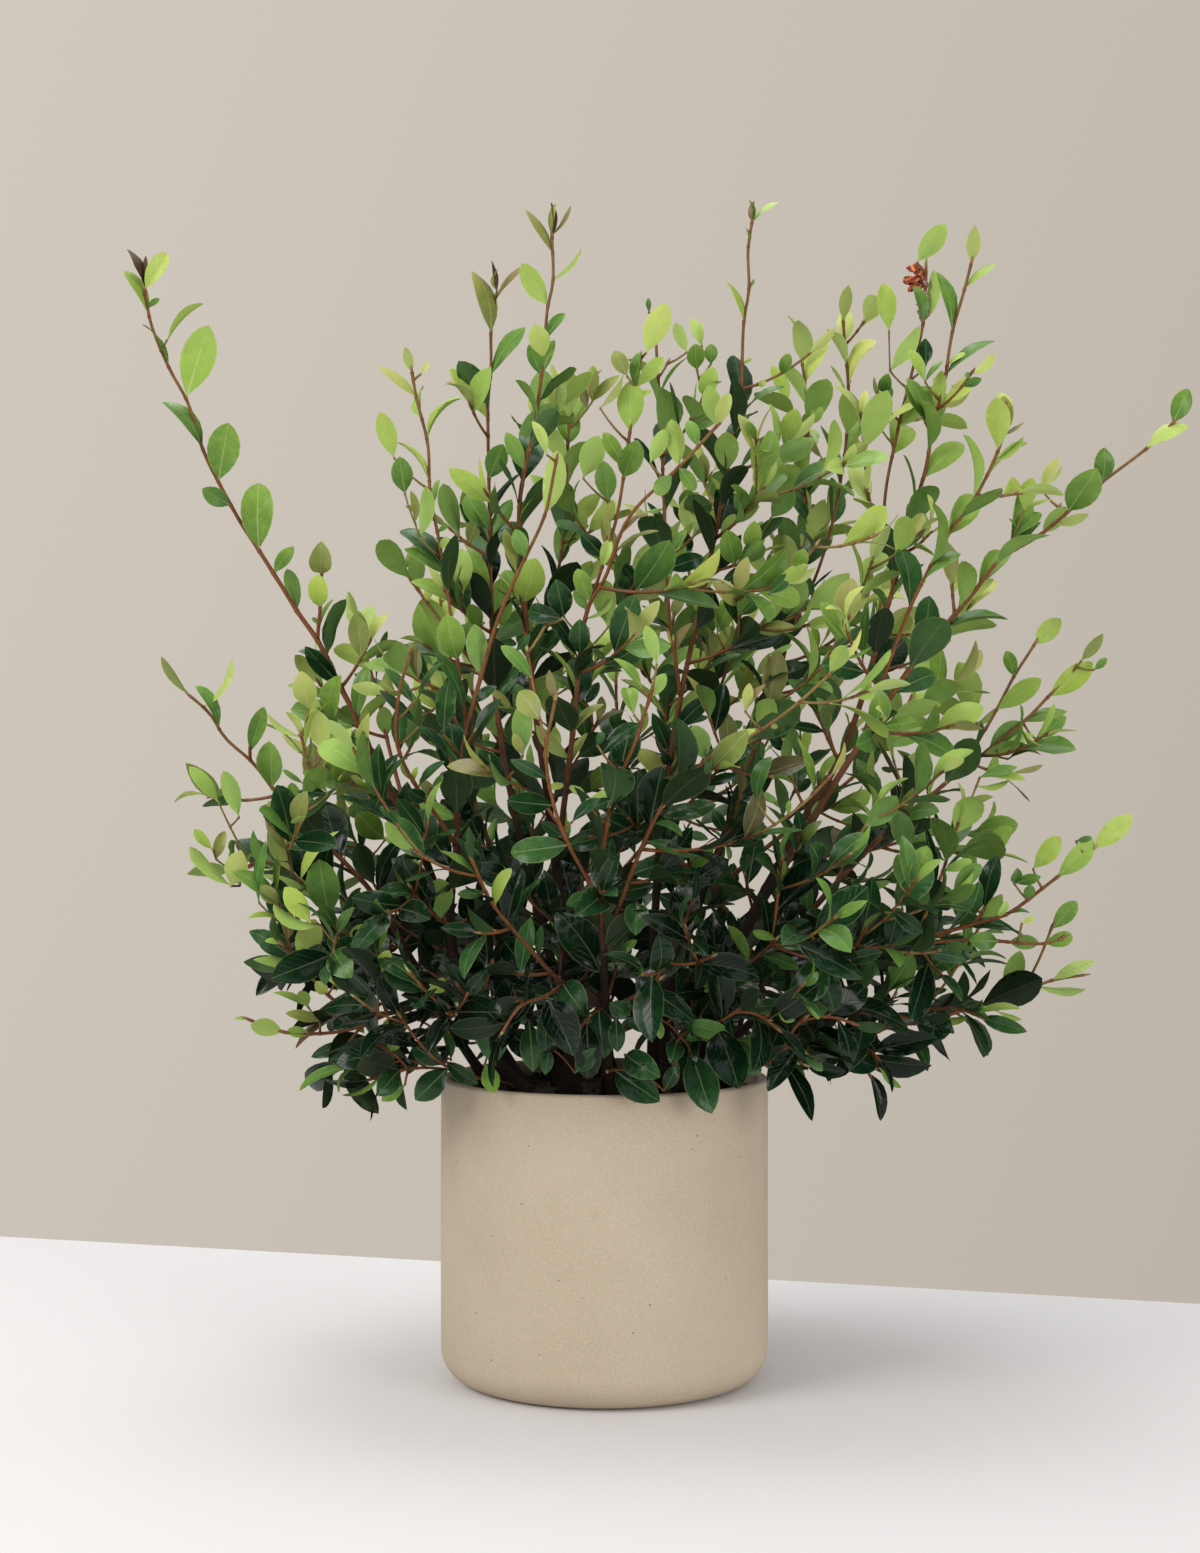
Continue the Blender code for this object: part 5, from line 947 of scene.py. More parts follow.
class Branch:
    """One length of wood: its stem's number, its path, and its radius along the path.

    The radius is  tip + (base - tip) x (1 - share of the length)^taper.
    """

    def __init__(self, stem, path, radius, tip_radius, leader=False, main=False):
        self.stem = stem
        self.path = path
        self.along = arc_length(path)
        share = self.along / self.along[-1]
        taper = LEADER_TAPER if leader else SHOOT_TAPER
        self.radii = tip_radius + (radius - tip_radius) * (1.0 - share) ** taper
        self.leader = leader
        self.main = main
        self.parent = None
        self.parent_at = 0.0
        self.carried = []
        self.seats = None


def hand_read_branches():
    """The stems' own routes. Each further route starts on the nearest point of an earlier one."""
    branches = []
    for number, (_, root, radius, routes) in enumerate(STEMS):
        wood = []
        for tip_depth, route in routes:
            first = not wood
            if first:
                start = np.array([root[0], root[1], SOIL_TOP + BASE_ABOVE_SOIL])
                base_radius = radius
            else:
                known = np.vstack([b.path for b in wood])
                thick = np.concatenate([b.radii for b in wood])
                guess = np.array([seen(*route[0], point[1]) for point in known])
                nearest = int(np.argmin(np.linalg.norm((known - guess)[:, [0, 2]], axis=1)))
                start = known[nearest]
                base_radius = max(STEM_TIP_RADIUS * 1.15, BRANCH_SHARE * thick[nearest])
                route = route[1:]
            flat = np.array([seen(*p, start[1]) for p in route])
            flat = np.vstack([start, flat])
            share = arc_length(flat)
            share = share[1:] / share[-1]
            depths = start[1] + (tip_depth - start[1]) * share**DEPTH_POWER
            places = [seen(*p, depth) for p, depth in zip(route, depths)]
            path = smooth_curve([start] + places, NET_STEP)
            wood.append(Branch(number, path, base_radius, STEM_TIP_RADIUS, True, first))
        branches += wood
    return branches


def bent_path(start, end, sideways):
    """A shoot's curve: low shoots droop at the tip, the others turn up.

    It is  (1 - t)^2 start + 2 t (1 - t) middle + t^2 end,  t from 0 to 1.
    """
    chord = end - start
    length = np.linalg.norm(chord)
    lift = DROOP if end[2] < DROOP_BELOW else UPTURN
    middle = start + 0.5 * chord + UP * lift * length + sideways
    t = np.linspace(0.0, 1.0, 16)[:, None]
    return even_steps((1 - t) ** 2 * start + 2 * t * (1 - t) * middle + t**2 * end, NET_STEP)


def clear_of_others(path, radius, stem, net):
    """True if the path keeps its distance from the wood of every other stem."""
    others = net["stem"] != stem
    gaps = np.linalg.norm(path[:, None] - net["point"][others][None], axis=2)
    return bool((gaps > radius + net["radius"][others][None] + WOOD_CLEARANCE + 0.25 * NET_STEP).all())


def in_pot(points, margin):
    """For each point, whether it is in the planter's wall or the soil, or closer than the margin."""
    out = np.linalg.norm(points[..., :2], axis=-1)
    low = points[..., 2] < POT_HEIGHT + margin
    buried = points[..., 2] < SOIL_TOP + margin
    in_wall = (out > POT_RADIUS - POT_WALL - margin) & (out < POT_RADIUS + margin)
    return (low & in_wall) | (buried & (out < POT_RADIUS))


def is_level(branch):
    """True for a grown shoot high in the crown that rises too little for its way across."""
    way = branch.path[-1] - branch.path[0]
    high = branch.path[0][2] > LOW_SHOOTS_BELOW
    return high and not branch.leader and abs(way[2]) < LEVEL_RISE * math.hypot(way[0], way[1])


def network_of(branches):
    """All the wood's points in one table."""
    return {
        "level": np.concatenate([np.full(len(b.path), is_level(b)) for b in branches]),
        "point": np.vstack([b.path for b in branches]),
        "tangent": np.vstack([tangents(b.path) for b in branches]),
        "radius": np.concatenate([b.radii for b in branches]),
        "share": np.concatenate([b.along / b.along[-1] for b in branches]),
        "stem": np.concatenate([np.full(len(b.path), b.stem) for b in branches]),
        "branch": np.concatenate([np.full(len(b.path), k) for k, b in enumerate(branches)]),
        "along": np.concatenate([b.along for b in branches]),
    }


def growth_at(place):
    """The way that shoots grow there: up and outwards, and mostly outwards where they are low."""
    outward = unit(np.array([place[0], place[1], 0.0]) + 1e-6)
    return unit(outward * 0.7 + UP * (0.8 if place[2] > 0.4 else 0.15))


def grow_shoots(branches, targets, reach, apart):
    """Grows a shoot to each target from the best place on the wood so far, nearest targets first.

    A shoot leaves its parent forwards and heads up and outwards. The best place has the least
    distance x (1.7 - 0.7 cos a), a being the angle to the way that shoots grow there, with a cost
    added for a sharp turn. Where the shoot would cross another stem's wood it is bent to one
    side, and it is left out if no bend is clear.
    """
    net = network_of(branches)
    heart = np.array([0.0, 0.0, SOIL_TOP])
    for target in sorted(targets, key=lambda p: float(np.linalg.norm(p - heart))):
        growth = growth_at(target)
        gap = target - net["point"]
        distance = np.linalg.norm(gap, axis=1)
        if distance.min() < apart:
            continue
        ahead = np.einsum("ij,j->i", gap, growth) / distance
        forward = np.einsum("ij,ij->i", gap, net["tangent"]) / distance
        usable = (ahead > LEAST_AHEAD) & (forward > LEAST_FORWARD)
        usable &= (distance < reach) & (net["share"] < LAST_PARENT_SHARE)
        cost = distance * (1.7 - 0.7 * ahead) + SHARP_COST * (forward < SHARP_FORWARD)
        cost = np.where(usable, cost, np.inf)
        for index in np.argsort(cost)[:40:4]:
            if not np.isfinite(cost[index]):
                break
            start = net["point"][index]
            side = unit(np.cross(target - start, UP))
            bends = [side * distance[index] * k for k in SIDE_BENDS]
            radius = min(SHOOT_RADIUS, 0.9 * net["radius"][index])
            stem = net["stem"][index]
            made = None
            for bend in bends:
                path = bent_path(start, target, bend)
                clear = clear_of_others(path[1:], radius, stem, net)
                if clear and not in_pot(path, POT_CLEARANCE).any():
                    made = Branch(stem, path, radius, SHOOT_TIP_RADIUS)
                    made.parent = branches[net["branch"][index]]
                    made.parent_at = net["along"][index]
                    break
            if made is not None:
                branches.append(made)
                net = network_of(branches)
                break
    return branches


def grown_by_rule(points):
    """For each point, whether the leaves there come by rule and not from READ_LEAVES."""
    across, down = in_view(points).T
    free = np.ones(len(points), bool)
    for left, top, right, bottom, behind in READ_BOXES:
        inside = (across > left) & (across < right) & (down > top) & (down < bottom)
        free &= ~(inside & (points[:, 1] < behind))
    return free


def read_pose(seat, tip, seen_pixels):
    """The pose of a leaf whose tip and width were read in the view: direction, face, length, width.

    A leaf seen narrower or shorter than it is was turned away: about its midrib by the roll, with
    cos(roll) = seen width / width, and towards the eye by the tilt, cos(tilt) = seen / length.
    """
    scale = (seat[1] - EYE[1]) / FOCAL_PIXELS
    way = (tip - in_view(seat)) * scale
    seen_length = np.linalg.norm(way)
    seen_width = seen_pixels * scale
    length = max(seen_length, LEAST_LENGTH_IN_WIDTHS * seen_width)
    width = max(seen_width, LEAST_WIDTH_IN_LENGTHS * seen_length)
    tilt = math.acos(seen_length / length)
    roll = math.acos(seen_width / width)
    flat_way = np.array([way[0], 0.0, -way[1]]) / seen_length
    eyeward = EYEWARD if seat[1] > TILT_BACK_FROM else -EYEWARD
    direction = flat_way * math.cos(tilt) + eyeward * math.sin(tilt)
    facing = unit(EYEWARD - np.dot(EYEWARD, direction) * direction)
    beside = np.cross(direction, facing)
    face = facing * math.cos(roll) + beside * math.copysign(math.sin(roll), beside[2])
    return direction, face, length, width


def before_the_rim(row):
    """The depth of a leaf read before the pot's rim, clear of the wall. None for the other leaves."""
    ends = np.array([seen(*row[:2], -POT_RADIUS), seen(*row[2:4], -POT_RADIUS)])
    aside = np.abs(ends[:, 0])
    if max(row[1], row[3]) < RIM_LEAVES_FROM or aside.max() > POT_RADIUS - RIM_SIDE_GAP:
        return None
    return -math.sqrt((POT_RADIUS + RIM_GAP) ** 2 - aside.min() ** 2)


def read_leaves(branches):
    """The leaves read one by one: stem, seat, direction, upper side, length, width and look.

    Each sits on the nearest wood in the view, or on a new twig that grows from there to its base,
    up the view where it can.
    """
    rows = [(*leaf, *LOOKS[look]) for look, leaves in READ_LEAVES.items() for leaf in leaves]
    rows = np.array(rows, float)
    net = network_of(branches)
    spots = in_view(net["point"])
    gaps = np.linalg.norm(rows[:, None, :2] - spots[None], axis=2).min(axis=1)
    found = []
    for row in rows[np.argsort(gaps, kind="stable")]:
        across, down = (spots - row[:2]).T
        gap = np.hypot(across, down)
        near = (gap < SEAT_REACH) & ~net["level"]
        cost = gap + FRONT_FIRST * net["point"][:, 1] + LEVEL_WOOD_COST * net["level"]
        depth = before_the_rim(row)
        if depth is not None:
            near = near & (np.abs(net["point"][:, 1] - depth) < RIM_WOOD_REACH)
            cost = np.linalg.norm(net["point"] - seen(*row[:2], depth), axis=1)
            cost = np.where(net["point"][:, 2] > POT_HEIGHT + RIM_CLIMB, cost, np.inf)
        elif not near.any():
            cost = cost + LEVEL_COST * np.clip(np.abs(across) - down, 0.0, None)
        index = int(np.argmin(np.where(near, cost, np.inf) if near.any() else cost))
        holder, at, seat = branches[net["branch"][index]], net["along"][index], net["point"][index]
        if not near.any():
            end = seen(*row[:2], seat[1] - TWIG_FORWARD if depth is None else depth)
            path = bent_path(seat, end, 0.0)
            if in_pot(path, TWIG_POT_CLEARANCE).any():
                continue
            twig = Branch(holder.stem, path, min(TWIG_RADIUS, 0.9 * net["radius"][index]), TWIG_TIP_RADIUS)
            twig.parent, twig.parent_at = holder, at
            branches.append(twig)
            net = network_of(branches)
            spots = in_view(net["point"])
            holder, at, seat = twig, twig.along[-1], path[-1]
        holder.carried.append(at)
        found.append((holder.stem, seat, *read_pose(seat, row[2:4], row[4]), *row[5:]))
    return found


def read_petals(branches):
    """The dried bloom's petals and scales, each on the nearest wood in the view, posed like leaves."""
    net = network_of(branches)
    spots = in_view(net["point"])
    found = []
    for row in np.array(READ_PETALS, float):
        cost = np.linalg.norm(spots - row[:2], axis=1) + FRONT_FIRST * net["point"][:, 1]
        index = int(np.argmin(cost))
        holder, seat = branches[net["branch"][index]], net["point"][index]
        holder.carried.append(net["along"][index])
        found.append((holder.stem, seat, *read_pose(seat, row[2:4], row[4]), row[5]))
    return found


def pruned(branches):
    """The branches without those that carry nothing, each grown shoot cut just past its last leaf."""
    kept = []
    for branch in reversed(branches):
        if not branch.leader:
            if not len(branch.carried):
                continue
            end = min(max(branch.carried) + PAST_LAST_LEAF, branch.along[-1])
            inside = branch.along < end - 0.001
            inside[0] = True
            stop = [np.interp(end, branch.along, branch.path[:, k]) for k in range(3)]
            radius = np.interp(end, branch.along, branch.radii)
            branch.path = np.vstack([branch.path[inside], stop])
            branch.radii = np.append(branch.radii[inside], radius)
            branch.along = arc_length(branch.path)
        if branch.parent is not None:
            branch.parent.carried.append(branch.parent_at)
        kept.append(branch)
    return kept[::-1]


def frames_along(path):
    """Two cross directions at each point of a path, carried on without twist."""
    line = tangents(path)
    first = np.empty_like(path)
    across = unit(np.cross(line[0], [0.31, 0.95, 0.07]))
    for k, direction in enumerate(line):
        across = unit(across - direction * np.dot(across, direction))
        first[k] = across
    return line, first, np.cross(line, first)


def at_places(branch, table, places):
    """A per-point table of a branch, read at distances along it."""
    return np.stack([np.interp(places, branch.along, table[:, k]) for k in range(3)], axis=1)


def leaf_seats(branch, seed):
    """Where the leaves of a branch sit, tip first: distances, frames, angles and random draws.

    They are alternate: each is turned on from the one before by the golden angle.
    """
    total = branch.along[-1]
    if branch.leader:
        bare, pitch = max(LEADER_LEAST_BARE, total - LEADER_LEAFY_LENGTH), LEADER_PITCH
    else:
        bare, pitch = SHOOT_BARE_SHARE * total, SHOOT_PITCH
    count = max(3, int((total - bare) / pitch) + 1)
    draw = np.random.default_rng(seed).random((count, 8))
    places = total - (total - bare) * (np.arange(count) / count) ** 1.05
    places = np.clip(places + 0.3 * pitch * (draw[:, 0] - 0.5), 0.004, total)
    line, first, second = (unit(at_places(branch, t, places)) for t in frames_along(branch.path))
    angle = GOLDEN_ANGLE * np.arange(count) + FULL_TURN * draw[0, 1] + 0.5 * (draw[:, 1] - 0.5)
    root = at_places(branch, branch.path, places)
    free = grown_by_rule(root) | is_level(branch)
    branch.carried.extend(places[free])
    return [column[free] for column in (places, root, line, first, second, angle, draw, np.arange(count))]


YOUNG_BARK = ((0.100, 0.027, 0.008, 1.0), (0.240, 0.094, 0.028, 1.0))
OLD_BARK = ((0.0040, 0.0020, 0.0010, 1.0), (0.0240, 0.0105, 0.0045, 1.0))
GREEN_BARK = (0.26, 0.27, 0.075, 1.0)
CRACKS_A_METRE = 520.0
CRACKS_LENGTHEN = (1.0, 1.0, 0.22)
CRACK_DEPTH = 0.0012
PATCHES_A_METRE = 70.0


def painted(tree, name):
    """The value of the piece's own map of this name at the shaded point."""
    return add(tree, "ShaderNodeAttribute", attribute_name=name).outputs["Fac"]


def paint(thing, name, values, domain="POINT"):
    """Gives a piece a map of one value for each point, or for each face, for its material to read."""
    layer = thing.data.attributes.new(name, "FLOAT", domain)
    layer.data.foreach_set("value", np.asarray(values, np.float32).ravel())


def bark():
    """Young bark smooth and red-brown, greenish at the tips, old bark dark with lengthwise cracks.

    Painted shade inside the low crown makes the bark there darker and rougher, as on old wood.
    """
    material, tree, shader = ready_material("bark", 0.6)
    place = place_on(tree)
    # The map read here also carries painted shade from inside the low crown.
    age_and_shade = painted(tree, "age_and_shade")
    stretch = add(tree, "ShaderNodeMapping", (("Vector", place), ("Scale", CRACKS_LENGTHEN)))
    cracks = noise(tree, stretch.outputs[0], CRACKS_A_METRE, 5.0, 0.65)
    patches = noise(tree, place, PATCHES_A_METRE, 3.0)
    young = mixed(tree, patches, *YOUNG_BARK)
    old = mixed(tree, cracks, *OLD_BARK)
    colour = mixed(tree, ramp(tree, age_and_shade, ((0.25, grey(0.0)), (0.85, grey(1.0)))), young, old)
    fresh = ramp(tree, age_and_shade, ((0.0, grey(0.75)), (0.10, grey(0.0))))
    colour = mixed(tree, figure(tree, "MULTIPLY", fresh, patches), colour, GREEN_BARK)
    crack_tone = ramp(tree, cracks, ((0.3, grey(0.2)), (0.7, grey(0.8))))
    colour = mixed(tree, 0.5, colour, crack_tone, "SOFT_LIGHT")
    tree.links.new(colour, shader.inputs["Base Color"])
    rough = figure(tree, "MULTIPLY", cracks, graded(tree, age_and_shade, 0.88, 0.12))
    tree.links.new(bumped(tree, rough, CRACK_DEPTH, 0.6), shader.inputs["Normal"])
    shader.inputs["Specular IOR Level"].default_value = 0.25
    tree.links.new(ramp(tree, age_and_shade, ((0.0, grey(0.42)), (1.0, grey(0.85)))), shader.inputs["Roughness"])
    return material


LEADER_SIDES = 8
SHOOT_SIDES = 6
RING_STEP = 0.009
KNOT_REACH = 0.0018
KNOT_WIDTH = 0.0016
KNOT_HEIGHT = 0.00045
FORK_FLARE = 0.28
FORK_FLARE_LENGTH = 0.006
ROOT_FLARE = 0.45
ROOT_FLARE_LENGTH = 0.018
LUMP_SHARE = 0.07
LUMPS_ALONG = 110.0
NEW_WOOD_RADIUS = 0.0011
OLD_WOOD_THICKER = 0.0050
SHADE_REACH = 0.27
SHADE_TOP = 0.66
SHADE_FADES = 0.28
PAINTED_SHADE_ON_BARK = 0.7


def wood_of(branch):
    """A branch as a tube, with a map from 0 for new wood to 1 for old wood on each of its points.

    Its radius r becomes  r (1 + flare e^(-s / flare length)) + knot e^(-(gap / knot width)^2),  s
    being the distance from its base and gap the distance to a leaf. The map is higher where the wood
    is thick, and painted shade raises it where the crown shades the wood, so the bark there is darker.
    """
    total = branch.along[-1]
    seats = np.array(branch.carried)
    knots = np.concatenate([seats - KNOT_REACH, seats, seats + KNOT_REACH])
    knots = knots[(knots > 0) & (knots < total)]
    places = np.concatenate([np.arange(0.0, total, RING_STEP), knots, [total]])
    places = np.unique(places.round(4))
    tables = (branch.path,) + frames_along(branch.path)
    middle, line, first, second = (at_places(branch, table, places) for table in tables)
    line, first, second = unit(line), unit(first), unit(second)
    radius = np.interp(places, branch.along, branch.radii)
    knot = np.exp(-(((places[:, None] - seats[None]) / KNOT_WIDTH) ** 2)).sum(axis=1).clip(0, 1)
    flare = np.exp(-places / FORK_FLARE_LENGTH)
    radius = radius * (1 + FORK_FLARE * flare) + KNOT_HEIGHT * knot
    if branch.main:
        radius = radius * (1 + ROOT_FLARE * np.exp(-places / ROOT_FLARE_LENGTH))
        root = middle[0] - UP * ROOT_DEPTH
        middle = np.vstack([root, middle])
        first, second = np.vstack([first[0], first]), np.vstack([second[0], second])
        radius = np.concatenate([radius[:1] * 1.1, radius])
    sides = LEADER_SIDES if branch.leader else SHOOT_SIDES
    corner = 2 * np.pi * np.arange(sides) / sides
    lump_turn = LUMPS_ALONG * np.linalg.norm(middle, axis=1)[:, None]
    lump = 1 + LUMP_SHARE * np.sin(3 * corner[None] + lump_turn)
    ring = swung(first[:, None], second[:, None], corner)
    rings = middle[:, None] + (radius[:, None] * lump)[..., None] * ring
    # Painted shade: inside the low crown the map is raised, so the bark there is darker.
    inside = np.clip(1.0 - np.sum((middle[:, :2] / SHADE_REACH) ** 2, axis=1), 0, 1)
    shaded = PAINTED_SHADE_ON_BARK * inside * np.clip((SHADE_TOP - middle[:, 2]) / SHADE_FADES, 0, 1)
    age_and_shade = np.repeat(np.clip((radius - NEW_WOOD_RADIUS) / OLD_WOOD_THICKER + shaded, 0, 1), sides)
    return lofted(rings[None]), age_and_shade


branches = hand_read_branches()
tips = [seen(*tip) for tip in OUTLINE_TIPS]
tips = [tip - TIP_LEAF * growth_at(tip) for tip in tips]
branches = grow_shoots(branches, tips, OUTLINE_REACH, SHOOTS_APART)
branches = grow_shoots(branches, crown_points(0, CROWN_SHOOTS), SHOOT_REACH, SHOOTS_APART)
more_points = np.array(crown_points(CROWN_SHOOTS, MORE_SHOOTS))
more_points = more_points[grown_by_rule(more_points) & (more_points[:, 1] > FRONT_MOST)]
branches = grow_shoots(branches, more_points, SHOOT_REACH, MORE_SHOOTS_APART)
low_points = np.array(crown_points(CROWN_SHOOTS + MORE_SHOOTS, LOW_TRIES))
low_points = low_points[(low_points[:, 2] < LOW_SHOOTS_BELOW) & grown_by_rule(low_points)]
branches = grow_shoots(branches, low_points, SHOOT_REACH, LOW_SHOOTS_APART)
for seed, branch in enumerate(branches):
    branch.seats = leaf_seats(branch, seed)
leaves_read = read_leaves(branches)
petals_read = read_petals(branches)
branches = pruned(branches)

bark_finish = bark()
for number, (name, *_) in enumerate(STEMS):
    tubes, ages_and_shade = zip(*(wood_of(branch) for branch in branches if branch.stem == number))
    wood_points, wood_faces = together(*tubes)
    wood = new_piece(name.replace("stem", "wood"), wood_points, *wood_faces)
    paint(wood, "age_and_shade", np.concatenate(ages_and_shade))
    placed(wood, bark_finish, "bark", name)


# The leaves: small, tough and glossy, lime green on the young outer shoots and deep blue-green
# inside the crown, where painted shade darkens them, each on a short stalk. One leaf is nine rings
# of eight corners along its midrib, drawn together in the tip: a closed thin blade, folded along
# the midrib and curled at the rim.
LEAF_LENGTH = 0.056
LEAF_WIDTH = 0.0300
LEAF_THICKNESS = 0.00042
MIDRIB_THICKNESS = 0.00035
STALK = 0.055
STALK_RADIUS = 0.0009
STALK_TOP = 0.0006
POT_GAP = 0.0008
LEAF_STATIONS = np.array([0.0, 0.05, 0.12, 0.24, 0.38, 0.53, 0.68, 0.82, 0.93, 1.0])
LEAF_COLUMNS = np.array([1.0, 0.5, 0.0, -0.5, -1.0, -0.5, 0.0, 0.5])
UNDER_CORNERS = [0, 0, 0, 0, 0, 1, 1, 1]
UNDER_FACES = [0, 0, 0, 0, 1, 1, 1, 1]

# How leaves stand on a twig: angles in degrees, heights in metres, and weights of unit directions
LOW_FROM = 0.50
LOW_RANGE = 0.20
TIP_SPREAD = 15.0
LEAST_SPREAD = 31.0
SPREAD_RANGE = 19.0
LOW_SPREAD = 21.0
RISE = 0.16
LOW_DROOP = 0.40
OFF_TWIG = 0.34
LIGHT_OUTWARD = 0.45
LIGHT_UPWARD = 0.55
LOW_LIGHT_UPWARD = 0.4
LIGHT_TWIGWARD = 0.4
LIGHT_CHANCE = 1.5
YOUNG_RANKS = 1.4
TIP_SMALLER = 0.36
TIP_SLIMMER = 0.30
LOW_LARGER = 0.20

# How a leaf is bent: angles in degrees, and the twist in radians
LEAST_RECURVE = 8
RECURVE_RANGE = 42
SICKLE = 0.10
TWIST = 0.9
LEAST_FOLD = 9
FOLD_RANGE = 34
CURL = 0.34
RIM_WAVE = 0.10

# What makes a leaf young: heights and widths in metres, the rest in shares of youth
YOUTH_FROM_HEIGHT = 0.30
YOUTH_HEIGHTS = 0.75
YOUTH_SIDE = 0.38
YOUTH_LEAST = 0.04
YOUTH_UPWARD = 0.47
YOUTH_ASIDE = 0.24
PAINTED_SHADE_INSIDE = -0.40
YOUTH_AT_TIP = 0.12
YOUTH_AT_HIGH_TIP = 0.74
YOUTH_RANKS = 2.6
YOUTH_CHANCE = 0.28
SHOOT_CHANCE = 0.16
BRONZE_FROM_HEIGHT = 0.48
BRONZE_RANKS = 2


def leaf_poses(root, line, first, second, angle, draw, rank):
    """Directions, upper sides, lengths and widths of leaves. rank counts them from the tip.

    Leaves near the tip are smaller and more upright, low ones droop. The upper side turns from
    the twig's tip towards the light, up and away from the plant's axis, as far as the twig allows.
    """
    radial = swung(first, second, angle)
    low = np.clip((LOW_FROM - root[:, 2]) / LOW_RANGE, 0.0, 1.0)
    spread = LEAST_SPREAD + SPREAD_RANGE * draw[:, 2] + LOW_SPREAD * low
    spread = np.radians(np.where(rank == 0, TIP_SPREAD, spread))
    rise = np.where(rank == 0, 0.0, RISE - LOW_DROOP * low)[:, None]
    direction = unit(swung(line, radial, spread) + UP * rise)
    outward = np.einsum("ij,ij->i", direction, radial)
    direction = unit(direction + radial * np.maximum(0.0, OFF_TWIG - outward)[:, None])
    inner = line - np.einsum("ij,ij->i", line, direction)[:, None] * direction
    inner = unit(inner + 1e-6)
    beside = np.cross(direction, inner)
    axis_out = unit(root * [1.0, 1.0, 0.0] + 1e-6)
    light = LIGHT_OUTWARD * axis_out + (LIGHT_UPWARD + LOW_LIGHT_UPWARD * low)[:, None] * UP
    light += LIGHT_CHANCE * (draw[:, 3:6] - 0.5)
    light += LIGHT_TWIGWARD * inner
    roll = np.arctan2(np.einsum("ij,ij->i", light, beside), np.einsum("ij,ij->i", light, inner))
    outward = np.einsum("ij,ij->i", direction, radial)
    limit = np.arcsin(np.clip(0.95 * outward, 0.1, 0.80))
    roll = np.clip(roll, -limit, limit)
    face = swung(inner, beside, roll)
    young = np.exp(-rank / YOUNG_RANKS)
    size = (0.80 + 0.36 * draw[:, 6]) * (1.0 - TIP_SMALLER * young) * (1.0 + LOW_LARGER * low)
    length = LEAF_LENGTH * size
    width = LEAF_WIDTH * size * (0.84 + 0.26 * draw[:, 7]) * (1.0 - TIP_SLIMMER * young)
    return direction, face, length, width


def blades(seat, direction, face, length, width, pointed, draw):
    """The rings and tips of many leaves, and their half-widths at each ring.

    The midrib bends down along its length, by the recurve x (1.5 u^1.4 - 0.62) at the share u. A
    ring's corner at v across, -1 to 1, lies at  middle + w (v cos f side + h normal),  with
    h = |v| sin f - curl v^2 + wave v^3,  f being the fold and w the half-width  b^p (1 - b)^q  for
    the share b of the length past the stalk. Under it the blade's thickness is taken off.
    """
    count = len(seat)
    u = LEAF_STATIONS
    b = np.clip((u - STALK) / (1 - STALK), 0, 1)[None]
    p = 0.84 + 0.16 * (1 - pointed)[:, None]
    q = (0.58 + 0.34 * pointed)[:, None]
    peak = p / (p + q)
    half = b**p * (1 - b) ** q / (peak**p * (1 - peak) ** q)
    half = 0.5 * width[:, None] * half
    half = np.maximum(half, np.where(u < 0.13, STALK_RADIUS, 0.0)[None])
    recurve = np.radians(LEAST_RECURVE + RECURVE_RANGE * draw[:, 0] ** 1.5)[:, None]
    angle = recurve * (1.5 * u[None] ** 1.4 - 0.62)
    middle_angle = (angle[:, 1:] + angle[:, :-1]) / 2
    step = np.diff(u)[None] * length[:, None]
    along = np.cumsum(np.pad(np.cos(middle_angle) * step, ((0, 0), (1, 0))), axis=1)
    below = np.cumsum(np.pad(np.sin(middle_angle) * step, ((0, 0), (1, 0))), axis=1)
    side = np.cross(face, direction)
    sickle = (SICKLE * (draw[:, 1] - 0.5) * length)[:, None] * u[None] ** 2
    middle = (
        seat[:, None] + direction[:, None] * along[..., None] - face[:, None] * below[..., None]
        + side[:, None] * sickle[..., None]
    )
    normal = swung(face[:, None], direction[:, None], angle)
    twist = (TWIST * (draw[:, 2] - 0.5))[:, None] * (u[None] - 0.2)
    across, normal = swung(side[:, None], normal, twist), swung(normal, -side[:, None], twist)
    fold = np.radians(LEAST_FOLD + FOLD_RANGE * draw[:, 3] ** 1.5)
    fold = fold[:, None, None] * (1 - 0.3 * u)[None, :, None]
    v = LEAF_COLUMNS[None, None]
    wave = RIM_WAVE * np.sin(9.5 * u[None] + FULL_TURN * draw[:, 4:5])[..., None]
    wave = wave * (draw[:, 5] ** 2)[:, None, None]
    flat = v * np.cos(fold)
    curl = (CURL * draw[:, 6])[:, None, None]
    raised = np.abs(v) * np.sin(fold) - curl * v**2 + wave * v**3
    blade = u[None, :, None] > 0.08
    raised = np.where(blade, raised, 0.0)
    thick = np.where(blade, LEAF_THICKNESS * (1 - v**2), STALK_RADIUS * (1 - v**2))
    thick = thick + np.where(blade & (v == 0), MIDRIB_THICKNESS * (1 - u)[None, :, None], 0.0)
    under = np.array(UNDER_CORNERS)[None, None]
    height = raised * half[..., None] - thick * under
    height = height + np.where(blade, 0.0, STALK_TOP * (1 - v**2)) * (1 - under)
    rings = (
        middle[:, :, None] + across[:, :, None] * (flat * half[..., None])[..., None]
        + normal[:, :, None] * height[..., None]
    )
    shape = np.broadcast_to(2 * half / width[:, None], (count, len(u)))
    return rings[:, :-1], middle[:, -1], shape
